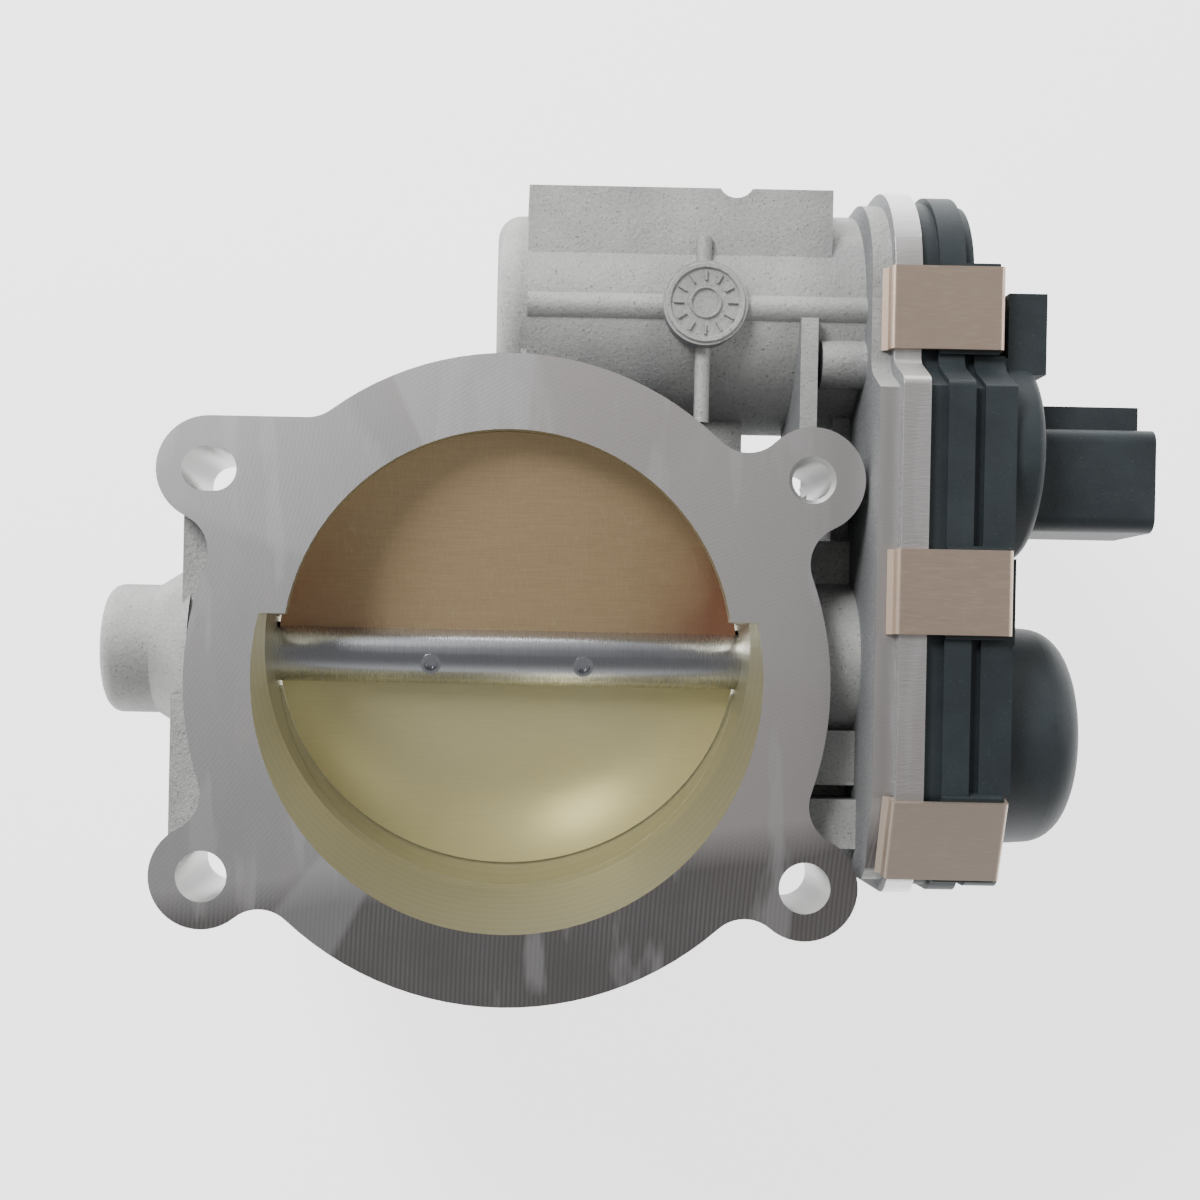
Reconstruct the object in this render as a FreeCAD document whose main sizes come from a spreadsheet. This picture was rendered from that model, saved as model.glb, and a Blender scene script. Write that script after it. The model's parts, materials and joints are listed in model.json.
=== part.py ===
"""Electronic throttle body: parametric model.

Frame: origin on the manifold face at the centre of the bolt pattern, +Z out of that face,
+X along the throttle shaft towards the gear cover, +Y towards the motor. Millimetres.
The driving sizes are in the Sizes sheet; every sub-part is bound to them.
"""
import FreeCAD, Part
import math
import os
import re
import Sketcher
from FreeCAD import Placement, Rotation, Vector

SIZES = (
    # mounting flange and its bolt pattern
    ("flange_thick", 11.0, "thickness of the mounting flange"),
    ("flange_radius", 57.9, "round part of the flange outline"),
    ("flange_crown", 54.0, "upper arc of the flange, about the bore"),
    ("flange_blend", 7.0, "radius of the blends between lugs and flange"),
    ("bolt_span_x", 108.0, "bolt spacing along the shaft"),
    ("bolt_span_y", 73.0, "bolt spacing across the shaft"),
    ("lug_radius", 9.5, "outer radius of each bolt lug"),
    ("lug_deep_left", 31.0, "length of the left lug columns"),
    ("lug_deep_right", 24.0, "length of the right lug columns"),
    ("bolt_hole_radius", 4.6, "lower bolt holes"),
    ("dowel_hole_radius", 3.5, "upper right bolt hole, the close one"),
    ("dowel_mouth_radius", 4.25, "chamfered mouth of the close hole"),
    ("slot_width", 8.0, "upper left slotted hole"),
    ("slot_length", 9.9, "upper left slotted hole, end to end"),
    # bore, plate and shaft
    ("bore_rise", 4.2, "bore axis above the bolt centre"),
    ("shaft_drop", 20.0, "shaft axis behind the manifold face"),
    ("plate_radius", 43.5, "throttle plate"),
    ("plate_thick", 2.5, "throttle plate"),
    ("plate_gap", 0.35, "gap between the plate and its spherical seat"),
    ("plate_tilt", 20.0, "plate angle at its sprung rest position"),
    ("lip_radius", 40.4, "lip where the seat ends"),
    ("relief_radius", 45.9, "relief at the manifold face"),
    ("relief_deep", 15.0, "depth of the relief bevel"),
    ("relief_step", 6.6, "relief starts this far above the shaft"),
    ("inlet_radius", 46.5, "inlet bore"),
    ("spigot_radius", 50.8, "bead of the duct spigot"),
    ("spigot_neck", 49.6, "duct spigot behind its bead"),
    ("bead_width", 6.0, "bead of the duct spigot"),
    ("body_length", 88.0, "manifold face to inlet rim"),
    ("barrel_radius", 51.5, "outside of the bore barrel"),
    ("barrel_end", 58.0, "where the barrel narrows to the spigot"),
    ("shaft_radius", 5.65, "throttle shaft"),
    ("run_gap", 0.03, "radial running clearance"),
    ("screw_pitch", 28.7, "between the two plate screws"),
    ("screw_radius", 1.95, "plate screw shank"),
    ("screw_head", 3.6, "plate screw head radius"),
    # bearings, seals and the left boss
    ("boss_radius", 12.2, "left bearing boss"),
    ("boss_end", 75.5, "left bearing boss, from the bore axis"),
    ("needle_radius", 1.0, "needle rollers"),
    ("needle_shell", 9.0, "outside of the needle shell"),
    ("needle_start", 56.0, "inner end of the needle bearing"),
    ("needle_length", 11.0, "length of the needle bearing"),
    ("seal_start", 46.5, "inner face of both shaft seals"),
    ("seal_width", 4.0, "width of both shaft seals"),
    ("seal_radius", 9.0, "outside of both shaft seals"),
    ("ball_race", 12.0, "outside of the ball bearing"),
    ("ball_width", 8.0, "width of the ball bearing"),
    ("ball_radius", 1.9, "bearing balls"),
    # gear case
    ("case_front", 8.5, "front edge of the case beyond the manifold face"),
    ("case_step", 7.5, "how far the motor end of the front edge drops"),
    ("case_back", 57.0, "rear edge of the case behind the manifold face"),
    ("case_low", 37.0, "lower end of the case below the bolt centre"),
    ("case_high", 92.5, "upper end of the case above the bolt centre"),
    ("case_floor", 65.5, "floor of the gear cavity from the bore axis"),
    ("wall_back", 64.3, "back of the cast case wall"),
    ("rim_back", 67.8, "back of the clip rim"),
    ("parting_face", 72.65, "machined face where the cover seats"),
    ("rim_wall", 4.4, "width of the machined rim"),
    ("facet_start", 17.5, "clip facet on the lower front corner, from the lower end"),
    ("facet_run", 14.5, "clip facet, along the face"),
    ("facet_drop", 5.3, "clip facet, fall along its length"),
    # gears
    ("gear_module", 1.0, "tooth module of both stages"),
    ("gear_play", 0.08, "tooth thinning on each flank"),
    ("sector_teeth", 54.0, "full-circle count of the sector gear"),
    ("small_teeth", 14.0, "idler, small wheel"),
    ("large_teeth", 46.0, "idler, large wheel"),
    ("pinion_teeth", 18.0, "motor pinion"),
    ("open_travel", 60.0, "plate travel from rest to wide open"),
    ("shut_travel", 8.0, "plate travel from rest to the closed stop"),
    ("large_start", 70.0, "near face of the idler's large wheel"),
    ("large_width", 5.0, "face width of the idler's large wheel"),
    ("sector_start", 76.0, "near face of the sector"),
    ("sector_width", 7.0, "face width of the sector"),
    ("hub_radius", 9.0, "sector hub"),
    ("insert_radius", 7.8, "steel insert in the sector hub"),
    ("shaft_end", 84.5, "gear end of the throttle shaft"),
    ("pin_radius", 2.0, "idler pin"),
    ("pin_start", 61.0, "idler pin, pressed end"),
    ("pin_end", 86.0, "idler pin, cover end"),
    # return spring
    ("spring_radius", 12.0, "mean radius of the return spring"),
    ("spring_wire", 0.65, "radius of the spring wire"),
    ("spring_turns", 4.0, "turns of the return spring"),
    ("spring_start", 61.0, "first coil of the return spring"),
    ("spring_end", 69.0, "last coil of the return spring"),
    # motor
    ("motor_rise", 69.5, "motor axis above the bolt centre"),
    ("motor_drop", 27.0, "motor axis behind the manifold face"),
    ("motor_shell", 21.0, "outside of the motor housing"),
    ("motor_start", 2.4, "shoulder of the motor housing"),
    ("motor_dome", 5.6, "domed end beyond the shoulder"),
    ("can_radius", 17.8, "motor can"),
    ("can_gap", 0.4, "gap round the motor can"),
    ("can_wall", 1.2, "motor can wall"),
    ("can_start", 9.0, "closed end of the motor can"),
    ("can_end", 58.0, "open end of the motor can"),
    ("magnet_thick", 2.4, "field magnets"),
    ("air_gap", 0.6, "between magnets and armature"),
    ("stack_start", 20.0, "armature laminations"),
    ("stack_end", 46.0, "armature laminations"),
    ("motor_pin", 2.0, "motor shaft radius"),
    # cover
    ("cover_wall", 2.2, "wall of the gear cover"),
    ("cover_inset", 0.6, "cover edge inside the rim edge"),
    ("skirt_top", 75.9, "top of the recessed skirt"),
    ("band_top", 80.6, "top of the raised band"),
    ("groove_top", 82.5, "top of the groove"),
    ("panel_top", 88.1, "top of the main panel"),
    ("dome_radius", 18.5, "round dome over the idler"),
    ("dome_rise", 42.0, "round dome, above the bolt centre"),
    ("dome_drop", 12.5, "round dome, behind the manifold face"),
    ("dome_top", 94.0, "round dome"),
    ("bulge_radius", 21.0, "sensor bulge"),
    ("bulge_rise", -9.0, "sensor bulge, above the bolt centre"),
    ("bulge_drop", 18.0, "sensor bulge, behind the manifold face"),
    ("bulge_top", 103.4, "sensor bulge"),
    ("socket_rise", 38.0, "connector, above the bolt centre"),
    ("socket_drop", 14.0, "connector, behind the manifold face"),
    ("socket_high", 18.7, "connector across the shaft"),
    ("socket_deep", 22.0, "connector along the bore"),
    ("socket_end", 116.5, "mouth of the connector"),
    ("socket_wall", 2.0, "connector wall"),
    ("seal_bead", 1.0, "radius of the cover seal"),
    # spring clips
    ("clip_thick", 0.8, "clip strip"),
    ("clip_width", 14.8, "clip strip"),
    ("clip_end", 87.4, "outer leg of the clips"),
    ("clip_leg", 5.5, "length of the clip legs"),
)

doc = FreeCAD.newDocument("ThrottleBody")
sheet = doc.addObject("Spreadsheet::Sheet", "Sizes")


def write_cell(row, alias, value, note):
    """Give one named size its row in the sheet."""
    sheet.set("A%d" % row, note)
    sheet.set("B%d" % row, "%.9g" % value)
    sheet.setAlias("B%d" % row, alias)


for number, (name, size, meaning) in enumerate(SIZES, start=1):
    write_cell(number, name, size, meaning)
doc.recompute()


def cell(alias):
    """Value of a named size."""
    return float(sheet.get(alias))


def formula(text):
    """Turn a formula of size names into one the document can evaluate."""
    return re.sub(r"[a-z]+(?:_[a-z]+)+", lambda match: "Sizes." + match.group(0), text)


def bind(item, **formulas):
    """Bind properties of an object to the sheet."""
    for prop, text in formulas.items():
        item.setExpression(prop, formula(text))
    return item


TURNS = {
    "z": Rotation(),
    "x": Rotation(Vector(0, 0, 1), Vector(1, 0, 0)),
    "y": Rotation(Vector(0, 0, 1), Vector(0, 1, 0)),
    "down": Rotation(Vector(0, 1, 0), 90),
}


def place(item, at, turn=None):
    """Put an object at a point given as three formulas, turned if asked."""
    item.Placement = Placement(Vector(), turn or Rotation())
    for coordinate, text in zip("xyz", at):
        item.setExpression("Placement.Base." + coordinate, formula(text))
    return item


def cylinder(label, radius, length, at, along="z"):
    """Cylinder from the point at, along an axis."""
    item = bind(doc.addObject("Part::Cylinder", label), Radius=radius, Height=length)
    return place(item, at, TURNS[along])


def cone(label, first, last, length, at, along="z"):
    """Cone frustum from the point at, along an axis."""
    item = doc.addObject("Part::Cone", label)
    bind(item, Radius1=first, Radius2=last, Height=length)
    return place(item, at, TURNS[along])


def block(label, low, high):
    """Box between two corners, each given as three formulas."""
    item = doc.addObject("Part::Box", label)
    sides = ["(%s) - (%s)" % (top, base) for base, top in zip(low, high)]
    bind(item, Length=sides[0], Width=sides[1], Height=sides[2])
    return place(item, low)


def fuse(label, *items):
    """Union of several objects."""
    item = doc.addObject("Part::MultiFuse", label)
    item.Shapes = list(items)
    item.Refine = True
    return item


def chain(kind, label, *items):
    """Part::Fuse or Part::Cut made one piece at a time, for castings with tangent faces."""
    base = items[0]
    for index, tool in enumerate(items[1:], start=2):
        last = index == len(items)
        item = doc.addObject(kind, label if last else "%s_step_%02d" % (label, index))
        item.Base = base
        item.Tool = tool
        base = item
    base.Refine = True
    return base


def group(label, *items):
    """Several separate solids kept as one object."""
    item = doc.addObject("Part::Compound", label)
    item.Links = list(items)
    return item


def cut(label, base, *tools):
    """Base with the tools removed."""
    item = doc.addObject("Part::Cut", label)
    item.Base = base
    item.Tool = tools[0] if len(tools) == 1 else fuse(label + "_tools", *tools)
    item.Refine = True
    return item


def common(label, first, second):
    """What two objects share."""
    item = doc.addObject("Part::Common", label)
    item.Base = first
    item.Tool = second
    return item


def extrude(label, outline, direction, length, at=("0", "0", "0")):
    """Solid from a flat outline, pushed along a direction."""
    item = doc.addObject("Part::Extrusion", label)
    item.Base = outline
    item.DirMode = "Custom"
    item.Dir = direction
    item.Solid = True
    bind(item, LengthFwd=length)
    return place(item, at)


def offset(label, outline, amount):
    """Outline moved outwards, or inwards where the amount is negative."""
    item = doc.addObject("Part::Offset2D", label)
    item.Source = outline
    bind(item, Value=amount)
    return item


def feature(label, shape, placement=None):
    """Object that holds a shape worked out here from the sheet."""
    item = doc.addObject("Part::Feature", label)
    item.Shape = shape
    if placement:
        item.Placement = placement
    return item


def rounded(label, base, radius, wanted):
    """Fillet the edges that the test wanted(edge) picks out."""
    doc.recompute()
    edges = [index for index, edge in enumerate(base.Shape.Edges, start=1) if wanted(edge)]
    item = doc.addObject("Part::Fillet", label)
    item.Base = base
    item.Edges = [(index, radius, radius) for index in edges]
    return item


def circle_at(axis, level):
    """Test for closed circular edges in the plane where an axis reads level."""
    def wanted(edge):
        round_edge = isinstance(edge.Curve, Part.Circle) and edge.isClosed()
        return round_edge and abs(getattr(edge.Curve.Center, axis) - level) < 1e-4
    return wanted


def turned(label, profile, at, turn=None):
    """Turned piece: a body whose sketch of (along, radius) points spins about its X axis."""
    body = doc.addObject("PartDesign::Body", label)
    sketch = body.newObject("Sketcher::SketchObject", label + "_profile")
    plane = [item for item in body.Origin.OriginFeatures if item.Role == "XY_Plane"][0]
    sketch.AttachmentSupport = [(plane, "")]
    sketch.MapMode = "FlatFace"
    values = [tuple(evaluate(text) for text in point) for point in profile]
    count = len(profile)
    for index, (along, radius) in enumerate(values):
        onward = values[(index + 1) % count]
        sketch.addGeometry(Part.LineSegment(Vector(along, radius, 0), Vector(*onward, 0)))
    for index in range(count):
        link = Sketcher.Constraint("Coincident", index, 2, (index + 1) % count, 1)
        sketch.addConstraint(link)
    for index, point in enumerate(profile):
        for kind, text, value in zip(("DistanceX", "DistanceY"), point, values[index]):
            size = Sketcher.Constraint(kind, -1, 1, index, 1, value)
            number = sketch.addConstraint(size)
            sketch.setExpression("Constraints[%d]" % number, formula(text))
    spin = body.newObject("PartDesign::Revolution", label + "_spin")
    spin.Profile = sketch
    spin.ReferenceAxis = (sketch, ["H_Axis"])
    spin.Angle = 360
    body.Tip = spin
    return place(body, at, turn)


def evaluate(text):
    """Number that a formula gives."""
    return float(sheet.evalExpression(formula(text).replace("Sizes.", "")))


def ring(label, start, end, inner, outer, at):
    """Turned ring between two stations along the X axis."""
    profile = ((start, inner), (end, inner), (end, outer), (start, outer))
    return turned(label, profile, at)


# ---- derived places ------------------------------------------------------------------------

def idler_centre():
    """Idler axis: where the two centre distances meet, on the inlet side."""
    reach = cell("gear_module") * (cell("sector_teeth") + cell("small_teeth")) / 2
    rest = cell("gear_module") * (cell("large_teeth") + cell("pinion_teeth")) / 2
    across = cell("motor_rise") - cell("bore_rise")
    down = cell("motor_drop") - cell("shaft_drop")
    span = math.hypot(across, down)
    along = (reach ** 2 - rest ** 2 + span ** 2) / (2 * span)
    aside = math.sqrt(reach ** 2 - along ** 2)
    rise = cell("bore_rise") + (across * along - down * aside) / span
    drop = cell("shaft_drop") + (down * along + across * aside) / span
    return rise, drop


idler_place = idler_centre()
write_cell(len(SIZES) + 1, "idler_rise", idler_place[0], "worked out from the gear sizes")
write_cell(len(SIZES) + 2, "idler_drop", idler_place[1], "worked out from the gear sizes")
doc.recompute()

SHAFT = ("0", "bore_rise", "-shaft_drop")
IDLER = ("0", "idler_rise", "-idler_drop")
MOTOR = ("0", "motor_rise", "-motor_drop")


def axis_at(station, axis):
    """A point on an X-wise axis at a station along it."""
    return (station,) + axis[1:]


# ---- flat outlines -------------------------------------------------------------------------

def rounded_polygon(points):
    """Closed face through (y, z, radius) corners, each corner an arc unless its radius is 0."""
    corners = [(Vector(0, y, z), radius) for y, z, radius in points]
    count = len(corners)
    starts = []
    ends = []
    mids = []
    for index, (corner, radius) in enumerate(corners):
        back = (corners[index - 1][0] - corner).normalize()
        onward = (corners[(index + 1) % count][0] - corner).normalize()
        half = back.getAngle(onward) / 2
        reach = radius / math.tan(half)
        middle = (back + onward).normalize()
        starts.append(corner + back * reach)
        ends.append(corner + onward * reach)
        mids.append(corner + middle * (radius / math.sin(half) - radius))
    edges = []
    for index in range(count):
        if corners[index][1]:
            edges.append(Part.Arc(starts[index], mids[index], ends[index]).toShape())
        edges.append(Part.LineSegment(ends[index], starts[(index + 1) % count]).toShape())
    return Part.Face(Part.Wire(edges))


def disc(radius, x, y):
    """Flat round face on the manifold face."""
    return Part.Face(Part.Wire(Part.Circle(Vector(x, y, 0), Vector(0, 0, 1), radius).toShape()))


LUG_SIGNS = ((-1, 1), (1, 1), (-1, -1), (1, -1))


def flange_outline():
    """Flange outline: round body, crown arc and four lugs, with blends between them."""
    half_x = cell("bolt_span_x") / 2
    half_y = cell("bolt_span_y") / 2
    lug = cell("lug_radius")
    shape = disc(cell("flange_radius"), 0, -1.0)
    faces = [disc(cell("flange_crown"), 0, cell("bore_rise"))]
    for side, end in LUG_SIGNS:
        faces.append(disc(lug, side * half_x, end * half_y))
    shelf = Part.makePlane(half_x * 0.55, lug, Vector(-half_x, half_y, 0), Vector(0, 0, 1))
    faces.append(shelf)
    shape = shape.multiFuse(faces).removeSplitter().Faces[0]
    shape = shape.makeOffset2D(cell("flange_blend"))
    return shape.makeOffset2D(-cell("flange_blend"))


def case_outline():
    """Edge of the gear case, seen along the shaft, with the step at the motor end."""
    front = cell("case_front")
    low_front = front - cell("case_step")
    step = cell("motor_rise") - 15.8
    low = -cell("case_low")
    return rounded_polygon((
        (low + cell("facet_start"), front, 6.0),
        (step, front, 2.0),
        (step + 4.0, low_front, 2.0),
        (cell("case_high"), low_front, 19.0),
        (cell("case_high"), -cell("case_back"), 20.0),
        (low, -cell("case_back"), 20.0),
        (low, front - cell("facet_drop") - 3.2, 5.0),
        (low + cell("facet_start") - cell("facet_run"), front - cell("facet_drop"), 4.0),
    ))


flange_face = feature("flange_outline", flange_outline())
case_face = feature("case_outline", case_outline())
X_WAY = Vector(1, 0, 0)

# ---- housing -------------------------------------------------------------------------------

def flange_and_barrel():
    """Mounting flange, its lug columns, the bore barrel and the duct spigot."""
    plate = extrude("flange_plate", flange_face, Vector(0, 0, -1), "flange_thick")
    barrel = turned("barrel", (
        ("6", "0"),
        ("barrel_end", "0"),
        ("body_length", "0"),
        ("body_length", "spigot_radius - 1"),
        ("body_length - 1", "spigot_radius"),
        ("body_length - bead_width + 1", "spigot_radius"),
        ("body_length - bead_width", "spigot_neck"),
        ("barrel_end + 3", "spigot_neck"),
        ("barrel_end", "barrel_radius"),
        ("6", "barrel_radius"),
    ), ("0", "bore_rise", "0"), TURNS["down"])
    pieces = [plate, barrel]
    for side, end in LUG_SIGNS:
        deep = "lug_deep_left" if side < 0 else "lug_deep_right"
        name = "lug_column_%s%s" % ("lr"[side > 0], "lu"[end > 0])
        at = ("%d * bolt_span_x / 2" % side, "%d * bolt_span_y / 2" % end, "-" + deep)
        pieces.append(cone(name, "lug_radius - 1.1", "lug_radius - 0.5", deep + " - 5", at))
    pieces.append(block("left_web_high", ("-59.5", "6", "-lug_deep_left + 4"), ("-40", "34", "-6")))
    pieces.append(block("left_web_low", ("-61.3", "-36", "-lug_deep_left + 3"), ("-38", "-4", "-6")))
    return pieces


def bearing_bosses():
    """Round bosses that carry the shaft bearings, each filleted at its end."""
    left = cylinder("left_boss_blank", "boss_radius", "boss_end - 40",
                    axis_at("-boss_end", SHAFT), "x")
    left = rounded("left_boss", left, 2.6, circle_at("x", -cell("boss_end")))
    root = cone("left_boss_root", "boss_radius", "boss_radius + 5", "8",
                axis_at("-66", SHAFT), "x")
    right = cylinder("right_boss", "ball_race + 3.2", "wall_back - 40", axis_at("40", SHAFT), "x")
    return [left, root, right]


def case_walls():
    """Cast wall and machined rim round the gear cavity."""
    inner = offset("case_wall_outline", case_face, "-(rim_wall - 2.2)")
    wall = extrude("case_wall", inner, X_WAY, "rim_back - wall_back", ("wall_back", "0", "0"))
    rim = extrude("case_rim", case_face, X_WAY, "parting_face - rim_back", ("rim_back", "0", "0"))
    body = block("case_floor_block", ("36", "-28", "-case_back + 5"),
                 ("wall_back", "bolt_span_y / 2 - lug_radius", "-16"))
    pad = block("idler_pad", ("pin_start", "bolt_span_y / 2 - lug_radius", "-case_back + 7"),
                ("wall_back", "motor_rise - 12", "-18"))
    foot = cylinder("bracket_foot", "4.4", "9", axis_at("wall_back - 8", bracket_holes()[0]), "x")
    lobe = cylinder("bracket_boss", "4.4", "9", axis_at("wall_back - 8", bracket_holes()[1]), "x")
    return [wall, rim, body, pad, foot, lobe]


RIBS = (
    # low y, high y, front z of the ribs and pads between flange and case
    (36.5, 38.3, -5.0),
    (-4.5, 1.2, -10.0),
    (-18.5, -8.5, -8.5),
    (-30.0, -21.0, -6.5),
)


def side_ribs():
    """Ribs and pads that tie the flange side to the case wall."""
    pieces = []
    for index, (low, high, front) in enumerate(RIBS):
        name = "side_rib_%d" % (index + 1)
        pieces.append(block(name, ("46", str(low), "-30"), ("wall_back + 1", str(high), str(front))))
    pieces.append(cylinder("side_barrel", "6.5", "24", ("wall_back - 23", "-2", "-22"), "x"))
    return pieces


def motor_housing():
    """Motor housing with its domed end, flat pad, bead, ribs and date pad."""
    tube = cylinder("motor_tube", "motor_shell", "wall_back - motor_start + 1",
                    axis_at("motor_start", MOTOR), "x")
    dome = cylinder("motor_dome_blank", "motor_shell - 1", "motor_dome + 2",
                    axis_at("motor_start - motor_dome", MOTOR), "x")
    level = cell("motor_start") - cell("motor_dome")
    dome = rounded("motor_dome", dome, 4.4, circle_at("x", level))
    slab = block("motor_slab", ("motor_start", "motor_rise", "-motor_drop"),
                 ("wall_back - 6", "motor_rise + motor_shell + 0.3", "-motor_drop + motor_shell - 2"))
    notch = cylinder("slab_notch", "3.4", "40", ("40.5", "motor_rise + motor_shell + 2", "-40"))
    slab = cut("motor_slab_notched", slab, notch)
    neck = block("motor_neck", ("-1", "36", "-45"),
                 ("bolt_span_x / 2 - lug_radius - 0.5", "motor_rise - 6", "-20"))
    bead = cylinder("motor_bead", "2.6", "wall_back - motor_start + 2",
                    ("motor_start", "motor_rise - 1", "-motor_drop + motor_shell - 1.4"), "x")
    rod = cylinder("motor_rod", "1.4", "motor_shell + 13",
                   ("34.7", "motor_rise - 22", "-motor_drop + motor_shell - 1.6"), "y")
    pad = cylinder("date_pad", "7.7", "6", ("34.7", "motor_rise - 0.7", "-motor_drop + motor_shell - 4"))
    rib = block("lug_rib", ("52.2", "bolt_span_y / 2 + 4", "-lug_deep_right"),
                ("55.3", "motor_rise - 3", "-4.2"))
    side = block("neck_rib", ("motor_start - 1", "44", "-30"), ("motor_start + 2", "motor_rise - 4", "-9"))
    return [tube, dome, slab, neck, bead, rod, pad, rib, side]


def bore_cuts():
    """Spherical plate seat, lip, reliefs and inlet bore."""
    seat = "plate_radius + plate_gap"
    ball = bind(doc.addObject("Part::Sphere", "seat_sphere"), Radius=seat)
    place(ball, SHAFT)
    lip = cylinder("lip_bore", "lip_radius", "shaft_drop * 2.05 + 1",
                   ("0", "bore_rise", "-shaft_drop * 2.05"))
    bottom = seat + " + 0.15"
    slope = "(relief_radius + bore_rise - (%s)) / relief_deep" % bottom
    taper = cone("relief_taper", "relief_radius - shaft_drop * %s" % slope,
                 "relief_radius + %s" % slope, "shaft_drop + 1", ("0", "0", "-shaft_drop"))
    well = cylinder("relief_well", bottom, "shaft_drop + 1", ("0", "bore_rise", "-shaft_drop"))
    low_side = block("relief_side", ("-60", "-60", "-shaft_drop"),
                     ("60", "bore_rise + relief_step", "2"))
    reliefs = [common("relief_root", well, low_side), common("relief", taper, low_side)]
    inlet = turned("inlet_bore", (
        ("shaft_drop * 2.02", "0"),
        ("body_length + 1", "0"),
        ("body_length + 1", "inlet_radius + 1.5"),
        ("body_length - 2", "inlet_radius"),
        ("shaft_drop * 3", "inlet_radius"),
        ("shaft_drop * 2.02", "lip_radius"),
    ), ("0", "bore_rise", "0"), TURNS["down"])
    back = cylinder("back_relief_bore", seat + " + 0.15", "shaft_drop * 1.8",
                    ("0", "bore_rise", "-shaft_drop * 2.8"))
    high_side = block("back_relief_side", ("-60", "bore_rise - relief_step", "-shaft_drop * 3"),
                      ("60", "60", "-shaft_drop"))
    return [ball, lip, *reliefs, inlet, common("back_relief", back, high_side)]


def bolt_cuts():
    """Lower round holes, the close hole with its chamfer, and the slot."""
    tools = []
    for side in (-1, 1):
        at = ("%d * bolt_span_x / 2" % side, "-bolt_span_y / 2", "-60")
        tools.append(cylinder("bolt_hole_" + "lr"[side > 0], "bolt_hole_radius", "70", at))
    at = ("bolt_span_x / 2", "bolt_span_y / 2", "-60")
    tools.append(cylinder("close_hole", "dowel_hole_radius", "70", at))
    mouth = cone("close_hole_mouth", "dowel_hole_radius", "dowel_mouth_radius + 0.75", "1.5",
                 ("bolt_span_x / 2", "bolt_span_y / 2", "-0.75"))
    tools.append(mouth)
    for side in (-1, 1):
        at = ("-bolt_span_x / 2 + %d * (slot_length - slot_width) / 2" % side,
              "bolt_span_y / 2", "-60")
        tools.append(cylinder("slot_end_" + "lr"[side > 0], "slot_width / 2", "70", at))
    tools.append(block("slot_middle",
                       ("-bolt_span_x / 2 - (slot_length - slot_width) / 2",
                        "bolt_span_y / 2 - slot_width / 2", "-60"),
                       ("-bolt_span_x / 2 + (slot_length - slot_width) / 2",
                        "bolt_span_y / 2 + slot_width / 2", "10")))
    return tools


def shaft_cuts():
    """Shaft bore with its bearing, seal and spring pockets."""
    pockets = (
        ("left_shaft_hole", "-boss_end - 1", "-shaft_drop", "shaft_radius + run_gap"),
        ("right_shaft_hole", "shaft_drop", "case_floor + 1", "shaft_radius + run_gap"),
        ("needle_pocket", "-boss_end - 1", "-needle_start", "needle_shell"),
        ("left_relief", "-needle_start - 0.5", "-seal_start - seal_width", "needle_shell - 1.5"),
        ("left_seal_pocket", "-seal_start - seal_width", "-seal_start", "seal_radius"),
        ("right_seal_pocket", "seal_start", "seal_start + seal_width", "seal_radius"),
        ("ball_pocket", "seal_start + seal_width", "spring_start - spring_wire - 0.2", "ball_race"),
        ("spring_pocket", "spring_start - spring_wire - 0.2", "case_floor + 1",
         "spring_radius + spring_wire + 0.9"),
    )
    tools = []
    for name, start, end, radius in pockets:
        tools.append(cylinder(name, radius, "(%s) - (%s)" % (end, start),
                              axis_at(start, SHAFT), "x"))
    return tools


def case_cuts():
    """Gear cavity, motor cavity, idler pin hole and motor screw holes."""
    inner = offset("gear_cavity_outline", case_face, "-rim_wall")
    gears = extrude("gear_cavity", inner, X_WAY, "parting_face - case_floor + 1",
                    ("case_floor", "0", "0"))
    motor = cylinder("motor_cavity", "can_radius + can_gap", "case_floor - can_start + 4",
                     axis_at("can_start - 3", MOTOR), "x")
    pin = cylinder("idler_pin_hole", "pin_radius", "20", axis_at("pin_start", IDLER), "x")
    tools = [gears, motor, pin]
    for index, at in enumerate(bracket_holes()):
        tools.append(cylinder("motor_screw_hole_%d" % (index + 1), "1.5", "10",
                              axis_at("case_floor - 7", at), "x"))
    return tools


def bracket_holes():
    """The two screw axes of the motor bracket, opposite each other."""
    reach = "(can_radius + 3.4)"
    return (
        ("0", "motor_rise - %s * 0.5" % reach, "-motor_drop + %s * 0.866" % reach),
        ("0", "motor_rise + %s * 0.5" % reach, "-motor_drop - %s * 0.866" % reach),
    )


def housing():
    """The cast aluminium housing."""
    solid = chain("Part::Fuse", "bore_side", *flange_and_barrel(), *bearing_bosses())
    solid = chain("Part::Fuse", "case_side", solid, *case_walls(), *side_ribs())
    solid = chain("Part::Fuse", "housing_blank", solid, *motor_housing())
    chain("Part::Cut", "housing", solid, *bore_cuts(), *bolt_cuts(), *shaft_cuts(), *case_cuts(),
          doc.getObject("cover_seal"))


# ---- throttle shaft group, drawn flat and then tilted to the rest angle ----------------------

TILT = Rotation(Vector(1, 0, 0), cell("plate_tilt"))
FLAT = ("0", "0", "0")
SCREW_SIDES = (-1, 1)


def tilted(item):
    """Move a piece drawn about the origin to the shaft axis at the rest angle."""
    return place(item, SHAFT, TILT)


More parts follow.
